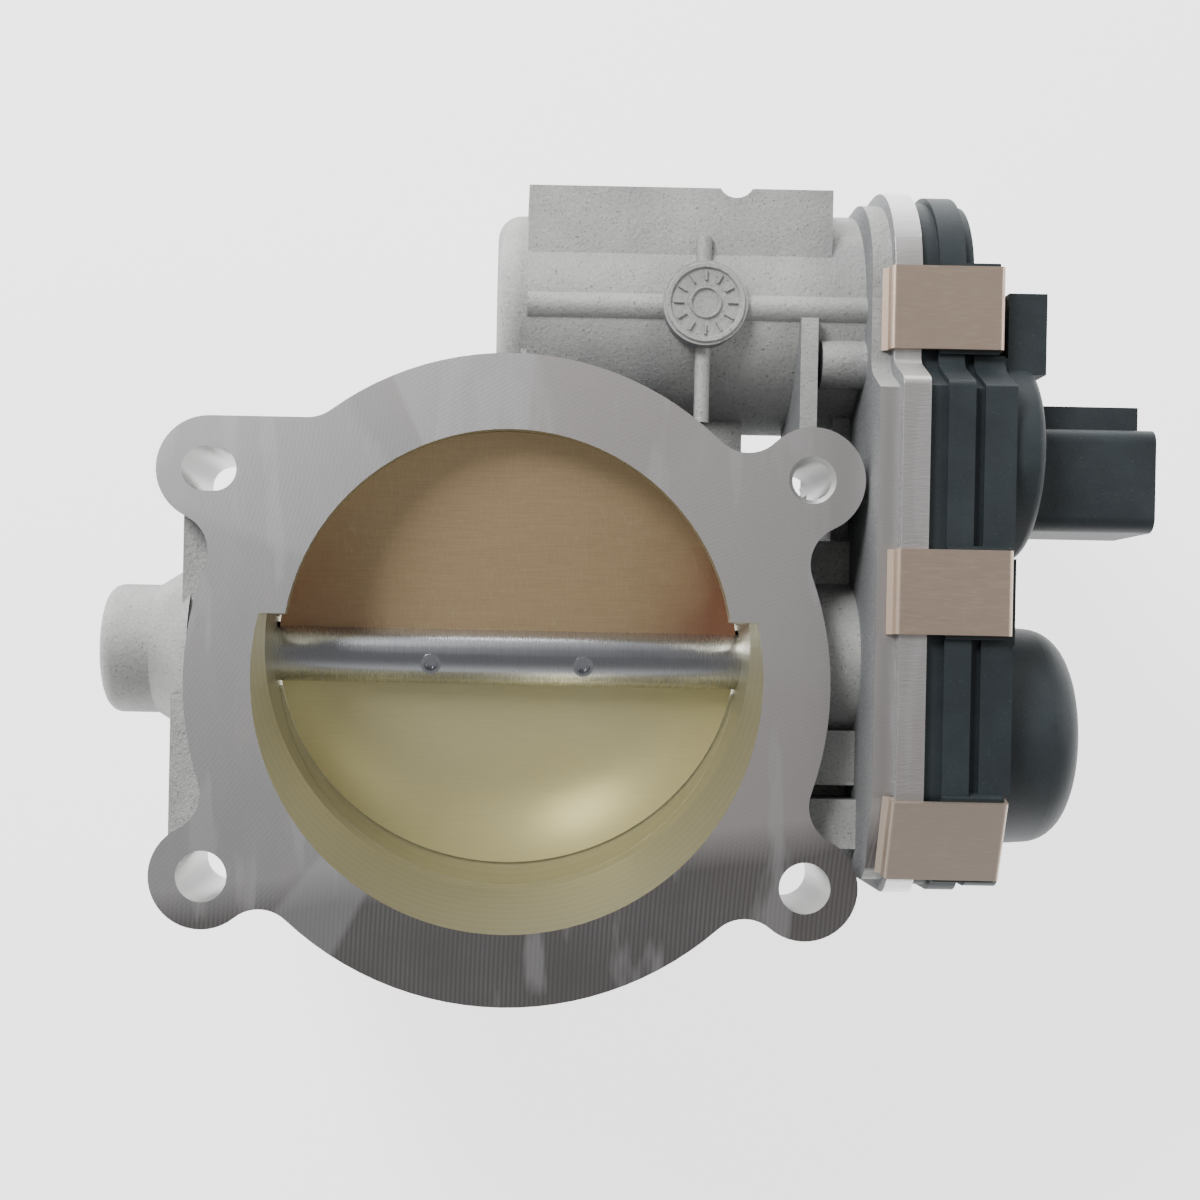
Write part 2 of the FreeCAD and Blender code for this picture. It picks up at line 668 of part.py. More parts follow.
def throttle_shaft():
    """Steel shaft, slotted for the plate, with spot faces and holes for its screws."""
    left = "-needle_start - needle_length - 2"
    bar = turned("shaft_bar", (
        (left, "0"),
        ("shaft_end", "0"),
        ("shaft_end", "shaft_radius - 0.5"),
        ("shaft_end - 0.5", "shaft_radius"),
        (left + " + 0.5", "shaft_radius"),
        (left, "shaft_radius - 0.5"),
    ), FLAT)
    slot = block("shaft_slot", ("-plate_radius - plate_gap", "-8", "-plate_thick / 2"),
                 ("plate_radius + plate_gap", "8", "plate_thick / 2"))
    tools = [slot]
    for side in SCREW_SIDES:
        at = ("%d * screw_pitch / 2" % side, "0", "-8")
        suffix = "lr"[side > 0]
        tools.append(cylinder("shaft_screw_hole_" + suffix, "screw_radius", "16", at))
        tools.append(cylinder("spot_face_" + suffix, "screw_head + 0.3", "8 - shaft_radius * 0.72", at))
    return tilted(cut("throttle_shaft", bar, *tools))


def throttle_plate():
    """Brass plate, a plain disc with two screw holes."""
    blank = cylinder("plate_blank", "plate_radius", "plate_thick", ("0", "0", "-plate_thick / 2"))
    tools = []
    for side in SCREW_SIDES:
        at = ("%d * screw_pitch / 2" % side, "0", "-5")
        tools.append(cylinder("plate_hole_" + "lr"[side > 0], "screw_radius", "10", at))
    return tilted(cut("throttle_plate", blank, *tools))


def plate_screws():
    """Two screws whose hollow tips are staked flush with the shaft."""
    screws = []
    for side in SCREW_SIDES:
        seat = "shaft_radius * 0.72"
        screws.append(turned("plate_screw_" + "lr"[side > 0], (
            (seat + " - 1.4", "0"),
            (seat + " - 1.4", "1.2"),
            (seat + " + 1.4", "1.3"),
            (seat + " + 1.4", "screw_head - 0.8"),
            (seat + " + 0.7", "screw_head"),
            (seat, "screw_head"),
            (seat, "screw_radius"),
            ("-shaft_radius", "screw_radius"),
            ("-shaft_radius", "screw_radius - 0.55"),
            ("-shaft_radius + 1.2", "screw_radius - 0.95"),
            ("-shaft_radius + 1.2", "0"),
        ), ("%d * screw_pitch / 2" % side, "0", "0"), TURNS["down"]))
    return tilted(group("plate_screws", *screws))


def tooth_flank(module, teeth, play):
    """Points of one involute flank and the half angle where it meets the pitch circle."""
    pitch = module * teeth / 2
    base = pitch * math.cos(math.radians(20))
    root = pitch - 1.2 * module
    tip = pitch + 0.92 * module
    start = max(base, root)

    def involute(radius):
        roll = math.sqrt(max(radius ** 2 / base ** 2 - 1, 0))
        return roll - math.atan(roll)

    half = math.pi / (2 * teeth) - play / pitch + involute(pitch)
    radii = [start + (tip - start) * step / 5 for step in range(6)]
    return root, [(radius, half - involute(radius)) for radius in radii]


def gear_face(teeth, tooth_angle):
    """Flat gear in the YZ plane with a tooth centred at tooth_angle, in degrees."""
    teeth = int(teeth)
    root, flank = tooth_flank(cell("gear_module"), teeth, cell("gear_play"))

    def at(radius, angle):
        return Vector(0, radius * math.cos(angle), radius * math.sin(angle))

    edges = []
    step = 2 * math.pi / teeth
    for index in range(teeth):
        middle = math.radians(tooth_angle) + index * step
        rising = [at(radius, middle - half) for radius, half in flank]
        falling = [at(radius, middle + half) for radius, half in reversed(flank)]
        foot = flank[0][1]
        if flank[0][0] > root + 1e-6:
            rising.insert(0, at(root, middle - foot))
            falling.append(at(root, middle + foot))
        for points in (rising, falling):
            curve = Part.BSplineCurve()
            curve.interpolate(points)
            if points is falling:
                top = Part.Arc(rising[-1], at(flank[-1][0], middle), falling[0])
                edges.append(top.toShape())
            edges.append(curve.toShape())
        valley = Part.Arc(falling[-1], at(root, middle + step / 2), at(root, middle + step - foot))
        edges.append(valley.toShape())
    return Part.Face(Part.Wire(edges))


MESH_SECTOR = math.degrees(math.atan2(cell("shaft_drop") - cell("idler_drop"),
                                      cell("idler_rise") - cell("bore_rise")))
MESH_MOTOR = math.degrees(math.atan2(cell("idler_drop") - cell("motor_drop"),
                                     cell("motor_rise") - cell("idler_rise")))


def half_tooth(alias):
    """Half a tooth pitch of a gear, in degrees."""
    return 180.0 / cell(alias)


def gear(label, teeth, tooth_angle, start, width, axis):
    """Spur gear whose outline is worked out here and whose width follows the sheet."""
    outline = feature(label + "_outline", gear_face(cell(teeth), tooth_angle))
    return extrude(label, outline, X_WAY, width, axis_at(start, axis))


def sector_gear():
    """Moulded sector: the toothed arc that the travel needs, a web and a hub."""
    wheel = gear("sector_wheel", "sector_teeth", MESH_SECTOR, "sector_start", "sector_width", SHAFT)
    margin = 8.5
    first = math.radians(MESH_SECTOR - cell("open_travel") - margin)
    last = math.radians(MESH_SECTOR + cell("shut_travel") + margin)
    reach = cell("gear_module") * cell("sector_teeth")
    middle = (first + last) / 2
    points = [Vector(0, 0, 0)]
    for angle in (first, middle, last):
        points.append(Vector(0, reach * math.cos(angle), reach * math.sin(angle)))
    wedge_face = feature("sector_wedge_outline", Part.Face(Part.makePolygon(points + points[:1])))
    wedge = extrude("sector_wedge", wedge_face, X_WAY, "sector_width + 2",
                    axis_at("sector_start - 1", SHAFT))
    hub = cylinder("sector_hub", "hub_radius", "shaft_end - spring_end - 1.2",
                   axis_at("spring_end + 1.2", SHAFT), "x")
    web = cylinder("sector_web", "gear_module * sector_teeth * 0.28", "sector_width - 1",
                   axis_at("sector_start + 1", SHAFT), "x")
    bore = cylinder("sector_bore", "insert_radius", "30", axis_at("spring_start", SHAFT), "x")
    blank = fuse("sector_blank", common("sector_arc", wheel, wedge), hub, web)
    return cut("sector_gear", blank, bore)


def shaft_pieces():
    """What turns with the shaft besides the plate: insert, sensor rotor and inner race."""
    ring("gear_insert", "spring_end + 1.2", "shaft_end - 0.8", "shaft_radius", "insert_radius", SHAFT)
    race = ring("inner_race_blank", "seal_start + seal_width", "seal_start + seal_width + ball_width",
                "shaft_radius", "shaft_radius + 2.2", SHAFT)
    return cut("bearing_inner_race", race, ball_groove("inner_groove"))


def ball_pitch():
    """Formula for the pitch radius of the balls."""
    return "(shaft_radius + 2.2 + ball_race - 1.8) / 2"


def ball_groove(label):
    """Torus that both races are grooved by."""
    item = bind(doc.addObject("Part::Torus", label), Radius1=ball_pitch(),
                Radius2="ball_radius + run_gap")
    return place(item, axis_at("seal_start + seal_width + ball_width / 2", SHAFT), TURNS["x"])


def sensor_rotor():
    """Conductive rotor of the position sensor, a thin three-lobed plate on the sector."""
    plate = ring("rotor_plate", "sector_start + sector_width",
                 "sector_start + sector_width + 1.0", "hub_radius", "hub_radius + 8", SHAFT)
    slots = []
    for index in range(3):
        angle = math.radians(120 * index + 30)
        centre = 0.001 * round(1000 * math.cos(angle) * 15)
        across = 0.001 * round(1000 * math.sin(angle) * 15)
        at = ("sector_start", "bore_rise + %s" % centre, "-shaft_drop + %s" % across)
        slots.append(cylinder("rotor_gap_%d" % (index + 1), "4.2", "12", at, "x"))
    return cut("sensor_rotor", plate, *slots)


# ---- bearings, seals and the return spring ---------------------------------------------------

def around(axis, radius, count, phase=0.0):
    """Points spaced evenly round an X-wise axis, as y and z numbers."""
    rise = evaluate(axis[1])
    depth = evaluate(axis[2])
    for index in range(count):
        angle = math.radians(360.0 * index / count + phase)
        yield rise + radius * math.cos(angle), depth + radius * math.sin(angle)


def needle_bearing():
    """Drawn-cup needle bearing in the left boss, and the plug behind it."""
    outer = "needle_start + needle_length"
    ring("needle_bearing_shell", "-(%s)" % outer, "-needle_start",
         "shaft_radius + 2 * needle_radius + 2 * run_gap", "needle_shell", SHAFT)
    pitch = cell("shaft_radius") + cell("needle_radius") + cell("run_gap")
    rollers = []
    for index, (rise, depth) in enumerate(around(SHAFT, pitch, 15)):
        at = ("-(%s) + 1" % outer, "%.6f" % rise, "%.6f" % depth)
        rollers.append(cylinder("roller_%02d" % (index + 1), "needle_radius",
                                "needle_length - 2", at, "x"))
    group("needle_rollers", *rollers)
    turned("end_plug", (
        ("-boss_end + 0.8", "0"),
        ("-boss_end + 0.8", "needle_shell - 1.6"),
        ("-boss_end + 1.6", "needle_shell"),
        ("-boss_end + 4.2", "needle_shell"),
        ("-boss_end + 4.2", "needle_shell - 1.2"),
        ("-boss_end + 2.2", "needle_shell - 1.8"),
        ("-boss_end + 2.2", "0"),
    ), SHAFT)


def ball_bearing():
    """Outer race and balls of the gear-side bearing."""
    start = "seal_start + seal_width"
    race = ring("outer_race_blank", start, start + " + ball_width", "ball_race - 1.8",
                "ball_race", SHAFT)
    cut("bearing_outer_race", race, ball_groove("outer_groove"))
    balls = []
    middle = evaluate(start + " + ball_width / 2")
    for index, (rise, depth) in enumerate(around(SHAFT, evaluate(ball_pitch()), 9)):
        ball = bind(doc.addObject("Part::Sphere", "ball_%02d" % (index + 1)), Radius="ball_radius")
        ball.Placement = Placement(Vector(middle, rise, depth), Rotation())
        balls.append(ball)
    group("bearing_balls", *balls)


def shaft_seals():
    """Rubber lip seals beside the bore."""
    seals = []
    for side in (-1, 1):
        start = "%d * seal_start" % side
        end = "%d * (seal_start + seal_width)" % side
        middle = "%d * (seal_start + seal_width / 2)" % side
        seals.append(turned("shaft_seal_" + "lr"[side > 0], (
            (start, "shaft_radius + 1.2"),
            (middle, "shaft_radius + 0.05"),
            (end, "shaft_radius + 1.2"),
            (end, "seal_radius"),
            (start, "seal_radius"),
        ), SHAFT))
    group("shaft_seals", *seals)


def return_spring():
    """Double-acting return spring round the shaft, as a helix."""
    turns = cell("spring_turns")
    pitch = (cell("spring_end") - cell("spring_start")) / turns
    radius = cell("spring_radius")
    path = Part.makeHelix(pitch, pitch * turns, radius)
    ring_wire = Part.Circle(Vector(radius, 0, 0), Vector(0, 1, 0), cell("spring_wire")).toShape()
    coil = Part.Wire(path).makePipeShell([Part.Wire(ring_wire)], True, True)
    spot = Vector(cell("spring_start"), cell("bore_rise"), -cell("shaft_drop"))
    feature("return_spring", coil, Placement(spot, TURNS["x"]))


# ---- idler -----------------------------------------------------------------------------------

def idler():
    """Compound idler wheel on its steel pin."""
    small = gear("idler_small", "small_teeth", MESH_SECTOR + 180 + half_tooth("small_teeth"),
                 "large_start + large_width", "sector_start + sector_width - large_start - large_width",
                 IDLER)
    large = gear("idler_large", "large_teeth", MESH_MOTOR, "large_start", "large_width", IDLER)
    hub = cylinder("idler_hub", "pin_radius + 2", "large_start - case_floor - 0.3",
                   axis_at("case_floor + 0.3", IDLER), "x")
    dish = ring("idler_dish", "large_start - 1", "large_start + 1.2", "gear_module * 10",
                "gear_module * 20", IDLER)
    bore = cylinder("idler_bore", "pin_radius + run_gap", "40", axis_at("pin_start", IDLER), "x")
    cut("idler_gear", fuse("idler_blank", small, large, hub), bore, dish)
    turned("idler_pin", (
        ("pin_start", "0"),
        ("pin_end", "0"),
        ("pin_end", "pin_radius - 0.3"),
        ("pin_end - 0.3", "pin_radius"),
        ("pin_start", "pin_radius"),
    ), IDLER)


# ---- motor -----------------------------------------------------------------------------------

def motor_stator():
    """Motor can, field magnets, bushes, end cap, bracket, screws, brushes and washer."""
    inside = "can_radius - can_wall"
    turned("motor_can", (
        ("can_start", "motor_pin + 2.5"),
        ("can_start", "can_radius - 1"),
        ("can_start + 1", "can_radius"),
        ("can_end", "can_radius"),
        ("can_end", inside),
        ("can_start + can_wall", inside),
        ("can_start + can_wall", "motor_pin + 2.5"),
    ), MOTOR)
    sleeve = ring("magnet_ring", "stack_start - 3", "stack_end + 3", inside + " - magnet_thick",
                  inside, MOTOR)
    gap = block("magnet_gap", ("stack_start - 5", "motor_rise - 4", "-motor_drop - 30"),
                ("stack_end + 5", "motor_rise + 4", "-motor_drop + 30"))
    cut("motor_magnets", sleeve, gap)
    bush = "motor_pin + run_gap"
    rear = ring("motor_bush_rear", "can_start - 0.4", "can_start + 4.5", bush, "motor_pin + 2.5", MOTOR)
    front = ring("motor_bush_front", "can_end + 1", "case_floor - 1", bush, "motor_pin + 2.5", MOTOR)
    group("motor_bushes", rear, front)
    turned("motor_end_cap", (
        ("stack_end + 5.2", "motor_pin + 10"),
        ("stack_end + 5.2", "motor_pin + 12"),
        ("can_end", "motor_pin + 12"),
        ("can_end", "can_radius"),
        ("case_floor", "can_radius"),
        ("case_floor", "motor_pin + 2.5"),
        ("can_end", "motor_pin + 2.5"),
        ("can_end", "motor_pin + 10"),
    ), MOTOR)
    motor_bracket()
    brushes = []
    for side in (-1, 1):
        near = "motor_rise + %d * (motor_pin + 3.6)" % side
        far = "motor_rise + %d * (motor_pin + 9.8)" % side
        low, high = (near, far) if side > 0 else (far, near)
        brushes.append(block("motor_brush_" + "lr"[side > 0],
                             ("stack_end + 6.4", low, "-motor_drop - 2"),
                             ("stack_end + 10.6", high, "-motor_drop + 2")))
    group("motor_brushes", *brushes)
    spring_washer()


def bracket_arm(suffix):
    """Flat arm from the bracket's eye to one screw."""
    arm = block("bracket_arm_" + suffix, ("0", "-3.4", "motor_pin + 3.5"),
                ("1.5", "3.4", "can_radius + 3.4"))
    turn = 30 if suffix == "1" else 210
    item = group("bracket_arm_turned_" + suffix, arm)
    return place(item, axis_at("case_floor", MOTOR), Rotation(Vector(1, 0, 0), turn))


def motor_bracket():
    """Steel bracket that screws the motor to the floor of the gear cavity."""
    disc_part = cylinder("bracket_disc", "can_radius - 6", "1.5", axis_at("case_floor", MOTOR), "x")
    arms = []
    tools = [cylinder("bracket_eye", "motor_pin + 3", "6", axis_at("case_floor - 2", MOTOR), "x")]
    screws = []
    for index, at in enumerate(bracket_holes()):
        suffix = str(index + 1)
        arms.append(cylinder("bracket_ear_" + suffix, "4.2", "1.5", axis_at("case_floor", at), "x"))
        arms.append(bracket_arm(suffix))
        tools.append(cylinder("bracket_hole_" + suffix, "1.5", "6", axis_at("case_floor - 2", at), "x"))
        screws.append(turned("motor_screw_" + suffix, (
            ("case_floor - 6.5", "0"),
            ("case_floor + 3.3", "0"),
            ("case_floor + 3.3", "2.2"),
            ("case_floor + 2.7", "2.8"),
            ("case_floor + 1.5", "2.8"),
            ("case_floor + 1.5", "1.5"),
            ("case_floor - 6.5", "1.5"),
        ), at))
    group("motor_screws", *screws)
    cut("motor_bracket", fuse("bracket_blank", disc_part, *arms), *tools)


def spring_washer():
    """Dished spring washer that loads the motor can from behind."""
    turned("spring_washer", (
        ("can_start - 3", "can_radius - 7"),
        ("can_start - 2.4", "can_radius - 7"),
        ("can_start", "can_radius - 3.5"),
        ("can_start - 0.6", "can_radius - 3"),
    ), MOTOR)


def motor_rotor():
    """Armature, windings, commutator, shaft and pinion."""
    outer = "can_radius - can_wall - magnet_thick - air_gap"
    stack = ring("stack_ring", "stack_start", "stack_end", "motor_pin", outer, MOTOR)
    radius = evaluate(outer)
    slots = []
    wires = []
    for index, (rise, depth) in enumerate(around(MOTOR, radius * 0.72, 7)):
        suffix = str(index + 1)
        at = ("%.6f" % rise, "%.6f" % depth)
        slots.append(cylinder("stack_slot_" + suffix, "3.0", "stack_end - stack_start + 2",
                              ("stack_start - 1",) + at, "x"))
        wires.append(cylinder("slot_wire_" + suffix, "2.9", "stack_end - stack_start",
                              ("stack_start",) + at, "x"))
    for index, (rise, depth) in enumerate(around(MOTOR, radius, 7)):
        at = ("stack_start - 1", "%.6f" % rise, "%.6f" % depth)
        slots.append(cylinder("slot_mouth_%d" % (index + 1), "1.1", "stack_end - stack_start + 2",
                              at, "x"))
    cut("armature_core", stack, *slots)
    ends = []
    for name, start, end in (("rear", "stack_start - 5", "stack_start"),
                             ("front", "stack_end", "stack_end + 4")):
        ends.append(turned("winding_" + name, (
            (start, "motor_pin + 2"),
            (end, "motor_pin + 1"),
            (end, outer + " - 0.8"),
            ("(%s + %s) / 2" % (start, end), outer + " - 0.4"),
            (start, outer + " - 3"),
        ), MOTOR))
    fuse("armature_windings", *ends, *wires)
    ring("commutator", "stack_end + 5.5", "stack_end + 11.5", "motor_pin", "motor_pin + 3.5", MOTOR)
    turned("motor_shaft", (
        ("can_start - 0.8", "0"),
        ("large_start + large_width + 0.6", "0"),
        ("large_start + large_width + 0.6", "motor_pin - 0.3"),
        ("large_start + large_width + 0.3", "motor_pin"),
        ("can_start - 0.8", "motor_pin"),
    ), MOTOR)
    wheel = gear("pinion_wheel", "pinion_teeth", MESH_MOTOR + 180 + half_tooth("pinion_teeth"),
                 "large_start - 0.3", "large_width + 0.6", MOTOR)
    bore = cylinder("pinion_bore", "motor_pin", "20", axis_at("large_start - 5", MOTOR), "x")
    cut("motor_pinion", wheel, bore)


# ---- cover and what is in it -----------------------------------------------------------------

FACET_TILT = math.degrees(math.atan2(cell("facet_drop"), cell("facet_run")))
CLIPS = (
    # rise of the clip's middle, front or back face, tilt about the shaft direction
    ("motor_rise - 2", "case_front - case_step", 0),
    ("bore_rise + 12.3", "case_front", 0),
    ("-case_low + facet_start - facet_run / 2", "case_front - facet_drop / 2", FACET_TILT),
    ("motor_rise - 8", "-case_back", 180),
    ("bore_rise + 12.3", "-case_back", 180),
    ("-case_low + 26", "-case_back", 180),
)
SIDEWAYS = Rotation(Vector(0, 0, 1), -90)


def clip_place(rise, level, tilt):
    """Placement whose local X runs down the case edge and local Z points out of it."""
    turn = Rotation(Vector(1, 0, 0), tilt) * SIDEWAYS
    return Placement(Vector(0, evaluate(rise), evaluate(level)), turn)


def snap_blocks():
    """Shoulders on the cover that the clips hold down."""
    pieces = []
    for index, spot in enumerate(CLIPS):
        length = cell("clip_end") - cell("clip_thick") - cell("skirt_top")
        item = doc.addObject("Part::Box", "snap_block_%d" % (index + 1))
        item.Length = cell("clip_width") + 1.4
        item.Width = length
        item.Height = 7.5
        corner = Placement(Vector(-item.Length.Value / 2, cell("skirt_top"), -7.5), Rotation())
        item.Placement = clip_place(*spot) * corner
        pieces.append(item)
    return pieces


def clip_notches():
    """Room beside the shoulders for the clips' outer legs."""
    pieces = []
    for index, spot in enumerate(CLIPS):
        item = doc.addObject("Part::Box", "clip_notch_%d" % (index + 1))
        item.Length = cell("clip_width") + 1.4
        item.Width = cell("panel_top") - cell("clip_end") + cell("clip_thick") + 1
        item.Height = cell("clip_leg") + 4
        start = cell("clip_end") - cell("clip_thick")
        corner = Placement(Vector(-item.Length.Value / 2, start, -cell("clip_leg") - 1), Rotation())
        item.Placement = clip_place(*spot) * corner
        pieces.append(item)
    return pieces


def clip_face():
    """Flat outline of one clip strip: back, long leg and short flared leg."""
    thick = cell("clip_thick")
    near = cell("rim_back") - thick
    far = cell("clip_end")
    leg = -cell("clip_leg")
    return rounded_polygon((
        (near, thick, 0.9),
        (near, -1.2, 0.3),
        (near - 1.0, -2.0, 0),
        (near - 0.4, -2.1, 0),
        (near + thick, -1.3, 0.3),
        (near + thick, 0, 0),
        (far - thick, 0, 0),
        (far - thick, leg, 0),
        (far, leg, 0),
        (far, thick, 0.9),
    ))


def cover_clips():
    """The six spring clips, one solid each."""
    clips = []
    width = cell("clip_width")
    for spot in CLIPS:
        strip = clip_face().extrude(Vector(width, 0, 0))
        strip.translate(Vector(-width / 2, 0, 0))
        strip.Placement = clip_place(*spot) * strip.Placement
        clips.append(strip)
    feature("cover_clips", Part.makeCompound(clips))


def cover_outside():
    """Stepped outside of the cover with its domes, blocks and connector."""
    def layer(name, inset, start, end):
        outline = offset(name + "_outline", case_face, "-(%s)" % inset)
        return extrude(name, outline, X_WAY, "(%s) - (%s)" % (end, start), (start, "0", "0"))

    skirt = layer("cover_skirt", "cover_inset + 0.9", "parting_face", "skirt_top")
    band = layer("cover_band", "cover_inset", "skirt_top", "band_top")
    groove = layer("cover_groove", "cover_inset + 1.6", "band_top", "groove_top")
    panel = layer("cover_panel_full", "cover_inset + 0.8", "groove_top", "panel_top")
    keep = block("panel_keep", ("groove_top - 1", "-60", "-90"),
                 ("panel_top + 1", "motor_rise + 1.6", "20"))
    panel = common("cover_panel", panel, keep)
    dome = cylinder("dome_blank", "dome_radius", "dome_top - groove_top",
                    ("groove_top", "dome_rise", "-dome_drop"), "x")
    dome = rounded("cover_dome", dome, 1.6, circle_at("x", cell("dome_top")))
    bulge = cone("bulge_blank", "bulge_radius", "bulge_radius - 1.2", "bulge_top - panel_top + 2",
                 ("panel_top - 2", "bulge_rise", "-bulge_drop"), "x")
    bulge = rounded("cover_bulge", bulge, 6.0, circle_at("x", cell("bulge_top")))
    body = block("socket_blank", ("dome_top - 4", "socket_rise - socket_high / 2",
                                  "-socket_drop - socket_deep / 2"),
                 ("socket_end", "socket_rise + socket_high / 2", "-socket_drop + socket_deep / 2"))
    body = rounded("connector_body", body, 2.6, along_x)
    key = block("connector_key", ("dome_top - 3", "socket_rise + socket_high / 2 - 1",
                                  "-socket_drop - 5"),
                ("socket_end - 1.5", "socket_rise + socket_high / 2 + 4.6", "-socket_drop + 6"))
    tower = block("cover_tower", ("groove_top - 2", "motor_rise - 13", "-19"),
                  ("dome_top + 2", "motor_rise + 1.6", "-2"))
    slim = block("cover_slim_block", ("panel_top - 2", "bore_rise + 3.5", "-16"),
                 ("panel_top + 2.9", "bore_rise + 19", "-1"))
    return fuse("cover_outside", skirt, band, groove, panel, dome, bulge, body, key, tower, slim,
                *snap_blocks())


def along_x(edge):
    """Test for straight edges that run along the shaft direction."""
    if not isinstance(edge.Curve, Part.Line):
        return False
    ends = [vertex.Point for vertex in edge.Vertexes]
    return abs(abs((ends[1] - ends[0]).x) - edge.Length) < 1e-6


def cover_inside():
    """Hollows of the cover and of its connector."""
    def hollow(name, inset, start, end):
        outline = offset(name + "_outline", case_face, "-(%s)" % inset)
        return extrude(name, outline, X_WAY, "(%s) - (%s)" % (end, start), (start, "0", "0"))

    mouth = hollow("cover_mouth", "rim_wall", "parting_face - 1", "skirt_top")
    room = hollow("cover_room", "cover_inset + cover_wall", "skirt_top - 0.1",
                  "groove_top - cover_wall")
    attic = hollow("cover_attic_full", "cover_inset + cover_wall + 0.8", "skirt_top",
                   "panel_top - cover_wall")
    keep = block("attic_keep", ("skirt_top - 1", "-60", "-90"),
                 ("panel_top + 1", "motor_rise - 1", "20"))
    attic = common("cover_attic", attic, keep)
    bulge = cylinder("bulge_room", "bulge_radius - 4", "bulge_top - panel_top",
                     ("panel_top - cover_wall - 0.2", "bulge_rise", "-bulge_drop"), "x")
    socket = block("socket_room", ("dome_top + 4", "socket_rise - socket_high / 2 + socket_wall",
                                   "-socket_drop - socket_deep / 2 + socket_wall"),
                   ("socket_end + 1", "socket_rise + socket_high / 2 - socket_wall",
                    "-socket_drop + socket_deep / 2 - socket_wall"))
    return [mouth, room, attic, bulge, socket]


def connector_pins():
    """Six contact blades moulded through the floor of the connector."""
    blades = []
    for row in (-1, 1):
        for column in (-1, 0, 1):
            rise = "socket_rise + %s" % (row * 3.0)
            drop = "-socket_drop + %s" % (column * 4.6)
            blades.append(block("blade_%d_%d" % (row + 1, column + 1),
                                ("dome_top - 5", rise + " - 0.4", drop + " - 1.1"),
                                ("socket_end - 6", rise + " + 0.4", drop + " + 1.1")))
    return group("connector_pins", *blades)


def gear_cover():
    """The moulded cover, hollow, with a boss for the idler pin."""
    shell = chain("Part::Cut", "cover_shell", cover_outside(), *cover_inside(), *clip_notches())
    boss = cylinder("pin_boss", "pin_radius + 2.4", "panel_top - 1 - pin_end + 2.5",
                    axis_at("pin_end - 2.5", IDLER), "x")
    seat = cylinder("pin_seat", "pin_radius", "20", axis_at("pin_end - 20", IDLER), "x")
    cut("gear_cover", fuse("cover_with_boss", shell, boss), seat, connector_pins())


def cover_contents():
    """Seal, circuit board, sensor chip and motor terminals."""
    outer = offset("seal_outer", case_face, "-(rim_wall - 2.4)")
    inner = offset("seal_inner", case_face, "-(rim_wall - 1)")
    depth = "seal_bead"
    full = extrude("seal_full", outer, X_WAY, depth, ("parting_face - seal_bead", "0", "0"))
    core = extrude("seal_core", inner, X_WAY, "seal_bead + 2", ("parting_face - seal_bead - 1", "0", "0"))
    cut("cover_seal", full, core)
    cylinder("circuit_board", "bulge_radius - 4", "1.6",
             ("panel_top - cover_wall + 0.4", "bulge_rise", "-bulge_drop"), "x")
    block("sensor_chip", ("panel_top - cover_wall + 2", "bore_rise - 7", "-shaft_drop - 3.5"),
          ("panel_top - cover_wall + 3.5", "bore_rise", "-shaft_drop + 3.5"))
    blades = []
    for side in (-1, 1):
        across = "-motor_drop + %d * 4" % side
        blades.append(block("terminal_" + "lr"[side > 0],
                            ("case_floor", "motor_rise + 13", across + " - 1.5"),
                            ("groove_top - cover_wall - 0.4", "motor_rise + 13.8", across + " + 1.5")))
    group("motor_terminals", *blades)


# ---- assembly --------------------------------------------------------------------------------

throttle_shaft()
throttle_plate()
plate_screws()
shaft_pieces()
sector_gear()
sensor_rotor()
needle_bearing()
ball_bearing()
shaft_seals()
return_spring()
idler()
motor_stator()
motor_rotor()
cover_contents()
housing()
gear_cover()
cover_clips()

NODES = (
    "housing", "throttle_shaft", "throttle_plate", "plate_screws", "needle_bearing_shell",
    "needle_rollers", "end_plug", "bearing_outer_race", "bearing_inner_race", "bearing_balls",
    "shaft_seals", "return_spring", "gear_insert", "sector_gear", "sensor_rotor", "idler_gear",
    "idler_pin", "motor_can", "motor_magnets", "motor_bushes", "motor_end_cap", "motor_bracket",
    "motor_screws", "motor_brushes", "spring_washer", "armature_core", "armature_windings",
    "commutator", "motor_shaft", "motor_pinion", "gear_cover", "cover_seal", "circuit_board",
    "sensor_chip", "connector_pins", "motor_terminals", "cover_clips",
)

doc.recompute()
for item in doc.Objects:
    if "Invalid" in item.State or "Error" in item.State:
        raise RuntimeError("%s did not recompute: %s" % (item.Label, item.State))

os.makedirs("parts", exist_ok=True)
for label in NODES:
    shape = doc.getObject(label).Shape
    if shape.isNull() or not shape.isValid():
        raise RuntimeError("%s has no valid shape" % label)
    shape.exportStep("parts/%s.step" % label)
    print("%-22s %3d solids %12.1f mm3" % (label, len(shape.Solids), shape.Volume))
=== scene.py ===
"""Looks of an electronic throttle body: finishes, cast details and a plain studio."""

import json
import math

import bmesh
import bpy
from bpy.props import FloatProperty, FloatVectorProperty, PointerProperty
from mathutils import Matrix, Vector


